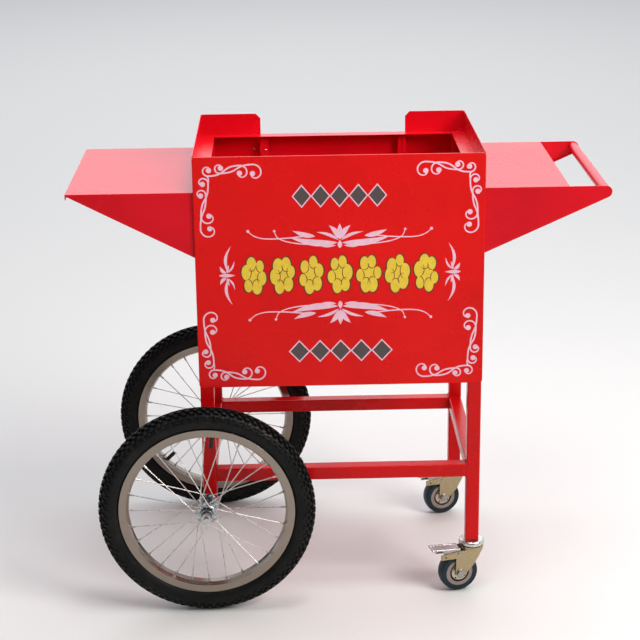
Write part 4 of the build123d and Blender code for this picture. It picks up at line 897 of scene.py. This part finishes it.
def pedal_lips(place):
    """The rolled edge of a pedal, along both its sides and across its tip."""
    shape = Shape()
    # The section of the edge, as (distance from the pedal's middle, height above the pedal).
    section = ((13.55, -0.2), (13.5, 0.5), (13.1, 1.0), (12.5, 1.1), (12.0, 0.7), (11.8, -0.2))
    half_width = 13.6
    # Ends of each side, as (place along the trail, height, 1 where the edge turns the corner).
    heel = (27.0, 86.36, 0)
    tip = (81.4, 89.8, 1)
    rings = []
    for (along, height, corner), hand in ((heel, 1), (tip, 1), (tip, -1), (heel, -1)):
        points = []
        for reach, lift in section:
            mitre = corner * (half_width - reach)
            points.append(place(along - mitre, hand * reach, height + lift))
        rings.append(shape.loop(points))
    for first, second in zip(rings, rings[1:]):
        shape.skin(first, second)
    shape.faces.append(tuple(reversed(rings[0])))
    shape.faces.append(tuple(rings[-1]))
    return shape


def make_caster_details(side):
    """One caster's dust covers, seals, washers, rivets, fork back and rolled pedal edge."""
    leg_low, leg_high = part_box(f"{side}_right_leg")
    core_low, core_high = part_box(f"{side}_caster_core")
    kingpin = Vector(((leg_low.x + leg_high.x) / 2, (leg_low.y + leg_high.y) / 2, 0))
    axle = (core_low + core_high) / 2
    trail = Vector((axle.x - kingpin.x, axle.y - kingpin.y, 0)).normalized()
    across = Vector((-trail.y, trail.x, 0))

    def place(along, over, height):
        """A place in millimetres: from the swivel's axis along and across its trail, and up."""
        return kingpin + trail * along * MM + across * over * MM + Vector((0, 0, height * MM))

    covers, seals, hole_shades, washers, pins, marks = (Shape() for _ in range(6))
    # Turned profiles, as (radius, distance from the wheel's middle plane) in millimetres.
    cover = in_mm([(16.9, 8.1), (16.7, 9.8), (15.4, 10.8), (11.6, 10.3), (9.6, 11.1), (9.1, 11.0)])
    seal = in_mm([(18.95, 8.1), (18.9, 11.4), (18.4, 11.8), (17.5, 11.8), (17.0, 11.2), (17.0, 8.1)])
    # A hole in the dust cover, drawn as a flat dark disc: painted shade standing in for the dark inside of
    # the hole.
    hole_shade = in_mm([(1.5, 10.2), (1.5, 10.9), (0.1, 10.9)])
    washer = in_mm([(8.7, 16.45), (8.7, 17.2), (8.3, 17.5), (4.5, 17.5), (4.5, 16.45)])
    bolt_end = in_mm([(5.6, 20.4), (5.3, 20.8), (3.0, 21.1), (0.1, 21.2)])
    pin_head = in_mm([(3.4, 16.5), (3.3, 17.3), (2.4, 17.8), (0.1, 17.9)])
    hole_circle = 13.2 * MM
    pivot = place(30.0, 0, 78.0)
    spring_along, spring_height = 56.5, 74.2
    cheek = 16.3
    for hand in (-1, 1):
        way = across * hand
        lathe(covers, axle, way, cover)
        lathe(seals, axle, way, seal)
        for k in range(4):
            turn = math.pi * (0.2 + k / 2)
            spot = axle + (trail * math.cos(turn) + Vector((0, 0, 1)) * math.sin(turn)) * hole_circle
            lathe(hole_shades, spot, way, hole_shade, 14)
        lathe(washers, axle, way, washer)
        lathe(washers, axle, way, bolt_end, 24)
        lathe(pins, pivot, way, pin_head, 24)
        # The two crossing ends of the brake's spring, as flat ovals on the cheek.
        for length, turn in ((5.4, 0.5), (3.6, 1.9)):
            oval = []
            for k in range(16):
                angle = 2 * math.pi * k / 16
                a, b = length / 2 * math.cos(angle), 0.8 * math.sin(angle)
                along = spring_along + a * math.cos(turn) - b * math.sin(turn)
                height = spring_height + a * math.sin(turn) + b * math.cos(turn)
                oval.append((along, height))
            proud = 0.32 + 0.04 * length
            lower = marks.loop([place(along, hand * cheek, height) for along, height in oval])
            upper = marks.loop([place(along, hand * (cheek + proud), height) for along, height in oval])
            marks.skin(lower, upper)
            marks.faces.append(tuple(upper))
            marks.faces.append(tuple(reversed(lower)))
    fork, wheel, pedal = f"{side}_fork", f"{side}_caster_wheel", f"{side}_pedal"
    for name, shape, body, finish, slot, smooth in (
        ("cover", covers, wheel, "cover", "caster_core", True),
        ("seal", seals, wheel, "dark", "caster_core", True),
        # The cover's holes as dark discs: painted shade.
        ("cover_hole_shades", hole_shades, wheel, "dark", "caster_core", False),
        ("axle_washers", washers, fork, "bolt", "zinc_hardware", True),
        ("pivot_heads", pins, pedal, "pedal", "pedal_zinc", True),
        ("spring_ends", marks, fork, "dark", "caster_zinc", False),
        ("fork_back", fork_back(place), fork, "fork", "caster_zinc", True),
        # Painted highlight: the rolled edge takes the brighter race finish, lighter than the pedal's own
        # zinc.
        ("pedal_lips", pedal_lips(place), pedal, "race", "pedal_zinc", True),
    ):
        piece = add_piece(f"{side}_caster_{name}", shape, body, finish, slot, smooth)
        if smooth:
            soften(piece)


def make_hub_details(side):
    """Dust caps on the turning hub, and serrated lock rings beside them on the axle."""
    low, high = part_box(f"{side}_hub")
    centre = (low + high) / 2
    caps, rings = Shape(), Shape()
    cap = in_mm([(12.9, 32.6), (12.9, 33.6), (12.2, 34.1), (10.0, 34.1), (9.2, 33.4), (8.8, 31.5)])
    ring = in_mm([(8.6, 36.3), (9.3, 36.5), (9.4, 39.5), (8.6, 40.0), (8.4, 38.0)])
    teeth = 36
    for hand in (-1, 1):
        way = Vector((0, hand, 0))
        lathe(caps, centre, way, cap, 56)
        lathe(rings, centre, way, ring, 2 * teeth, 0.35 * MM)
    for name, shape, body, finish, slot in (
        ("dust_caps", caps, f"{side}_wheel", "hub", "hub_steel"),
        ("lock_rings", rings, "frame", "axle", "axle_steel"),
    ):
        soften(add_piece(f"{side}_{name}", shape, body, finish, slot, True))


def make_screw_tails():
    """Ends of the hinge screws, inside the cabinet and on the door's lip."""
    panel_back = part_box("rear_left_panel")[1].y
    door_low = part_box("rear_door")[0]
    leaf_low, leaf_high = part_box("hinge_frame_leaves")
    first, second = 0.013, 0.037
    heights = (leaf_low.z + first, leaf_low.z + second, leaf_high.z - second, leaf_high.z - first)
    panel_thickness = 0.0012
    panel_x = leaf_low.x - 0.011
    door_x = door_low.x + 0.0062
    inward = Vector((0, -1, 0))
    dome = in_mm([(2.7, 0.0), (2.6, 0.6), (2.0, 1.2), (1.0, 1.5), (0.1, 1.55)])
    on_panel, on_door = Shape(), Shape()
    for z in heights:
        lathe(on_panel, Vector((panel_x, panel_back - panel_thickness, z)), inward, dome, 20)
        lathe(on_door, Vector((door_x, door_low.y, z)), inward, dome, 20)
    add_piece("panel_screw_tails", on_panel, "frame", "hardware", "zinc_hardware", True)
    add_piece("door_screw_tails", on_door, "door", "hardware", "zinc_hardware", True)


def make_welds():
    """Rippled beads where the stretchers meet the legs."""
    beads = Shape()

    def bead(start, end, radius):
        """A rippled bead from start to end, closed at both."""
        along = (end - start).normalized()
        side = along.orthogonal().normalized()
        up = along.cross(side)
        ring_gap = 0.0009
        count = max(2, round((end - start).length / ring_gap))
        turns = [2 * math.pi * k / 8 for k in range(8)]
        previous = None
        for i in range(count + 1):
            swell = radius * (0.86 + 0.14 * math.cos(i * 2.4) + 0.07 * math.sin(i * 0.71))
            middle = start + (end - start) * i / count
            ring = beads.loop([middle + (side * math.cos(a) + up * math.sin(a)) * swell for a in turns])
            if previous:
                beads.skin(previous, ring)
            else:
                beads.faces.append(tuple(ring))
            previous = ring
        beads.faces.append(tuple(previous))

    level_radius, level_inset = 0.0021, 0.002
    upright_radius, upright_inset, upright_depth = 0.0012, 0.001, 0.0011
    for name in ("front_stretcher", "back_stretcher", "left_stretcher", "right_stretcher"):
        low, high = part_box(name)
        # The axis that the tube runs along, and the level axis across it.
        run = 0 if name.startswith(("front", "back")) else 1
        wide = 1 - run
        for end in (low, high):
            for height in (low.z, high.z):
                start, stop = Vector((0, 0, height)), Vector((0, 0, height))
                start[run] = stop[run] = end[run]
                start[wide], stop[wide] = low[wide] + level_inset, high[wide] - level_inset
                bead(start, stop, level_radius)
            for face, sign in ((low, 1), (high, -1)):
                start, stop = Vector((0, 0, low.z + upright_inset)), Vector((0, 0, high.z - upright_inset))
                start[run] = stop[run] = end[run]
                start[wide] = stop[wide] = face[wide] + sign * upright_depth
                bead(start, stop, upright_radius)
    add_piece("weld_beads", beads, "frame", "tube", "red_frame", True)


# ------------------------------------------------------------------ the scene
make_camera()
make_stage()
paint_nodes()
make_print()
for end in ("front", "back"):
    make_tyre(end)
    make_hub_details(end)
    make_caster_details(end)
make_screw_tails()
make_welds()
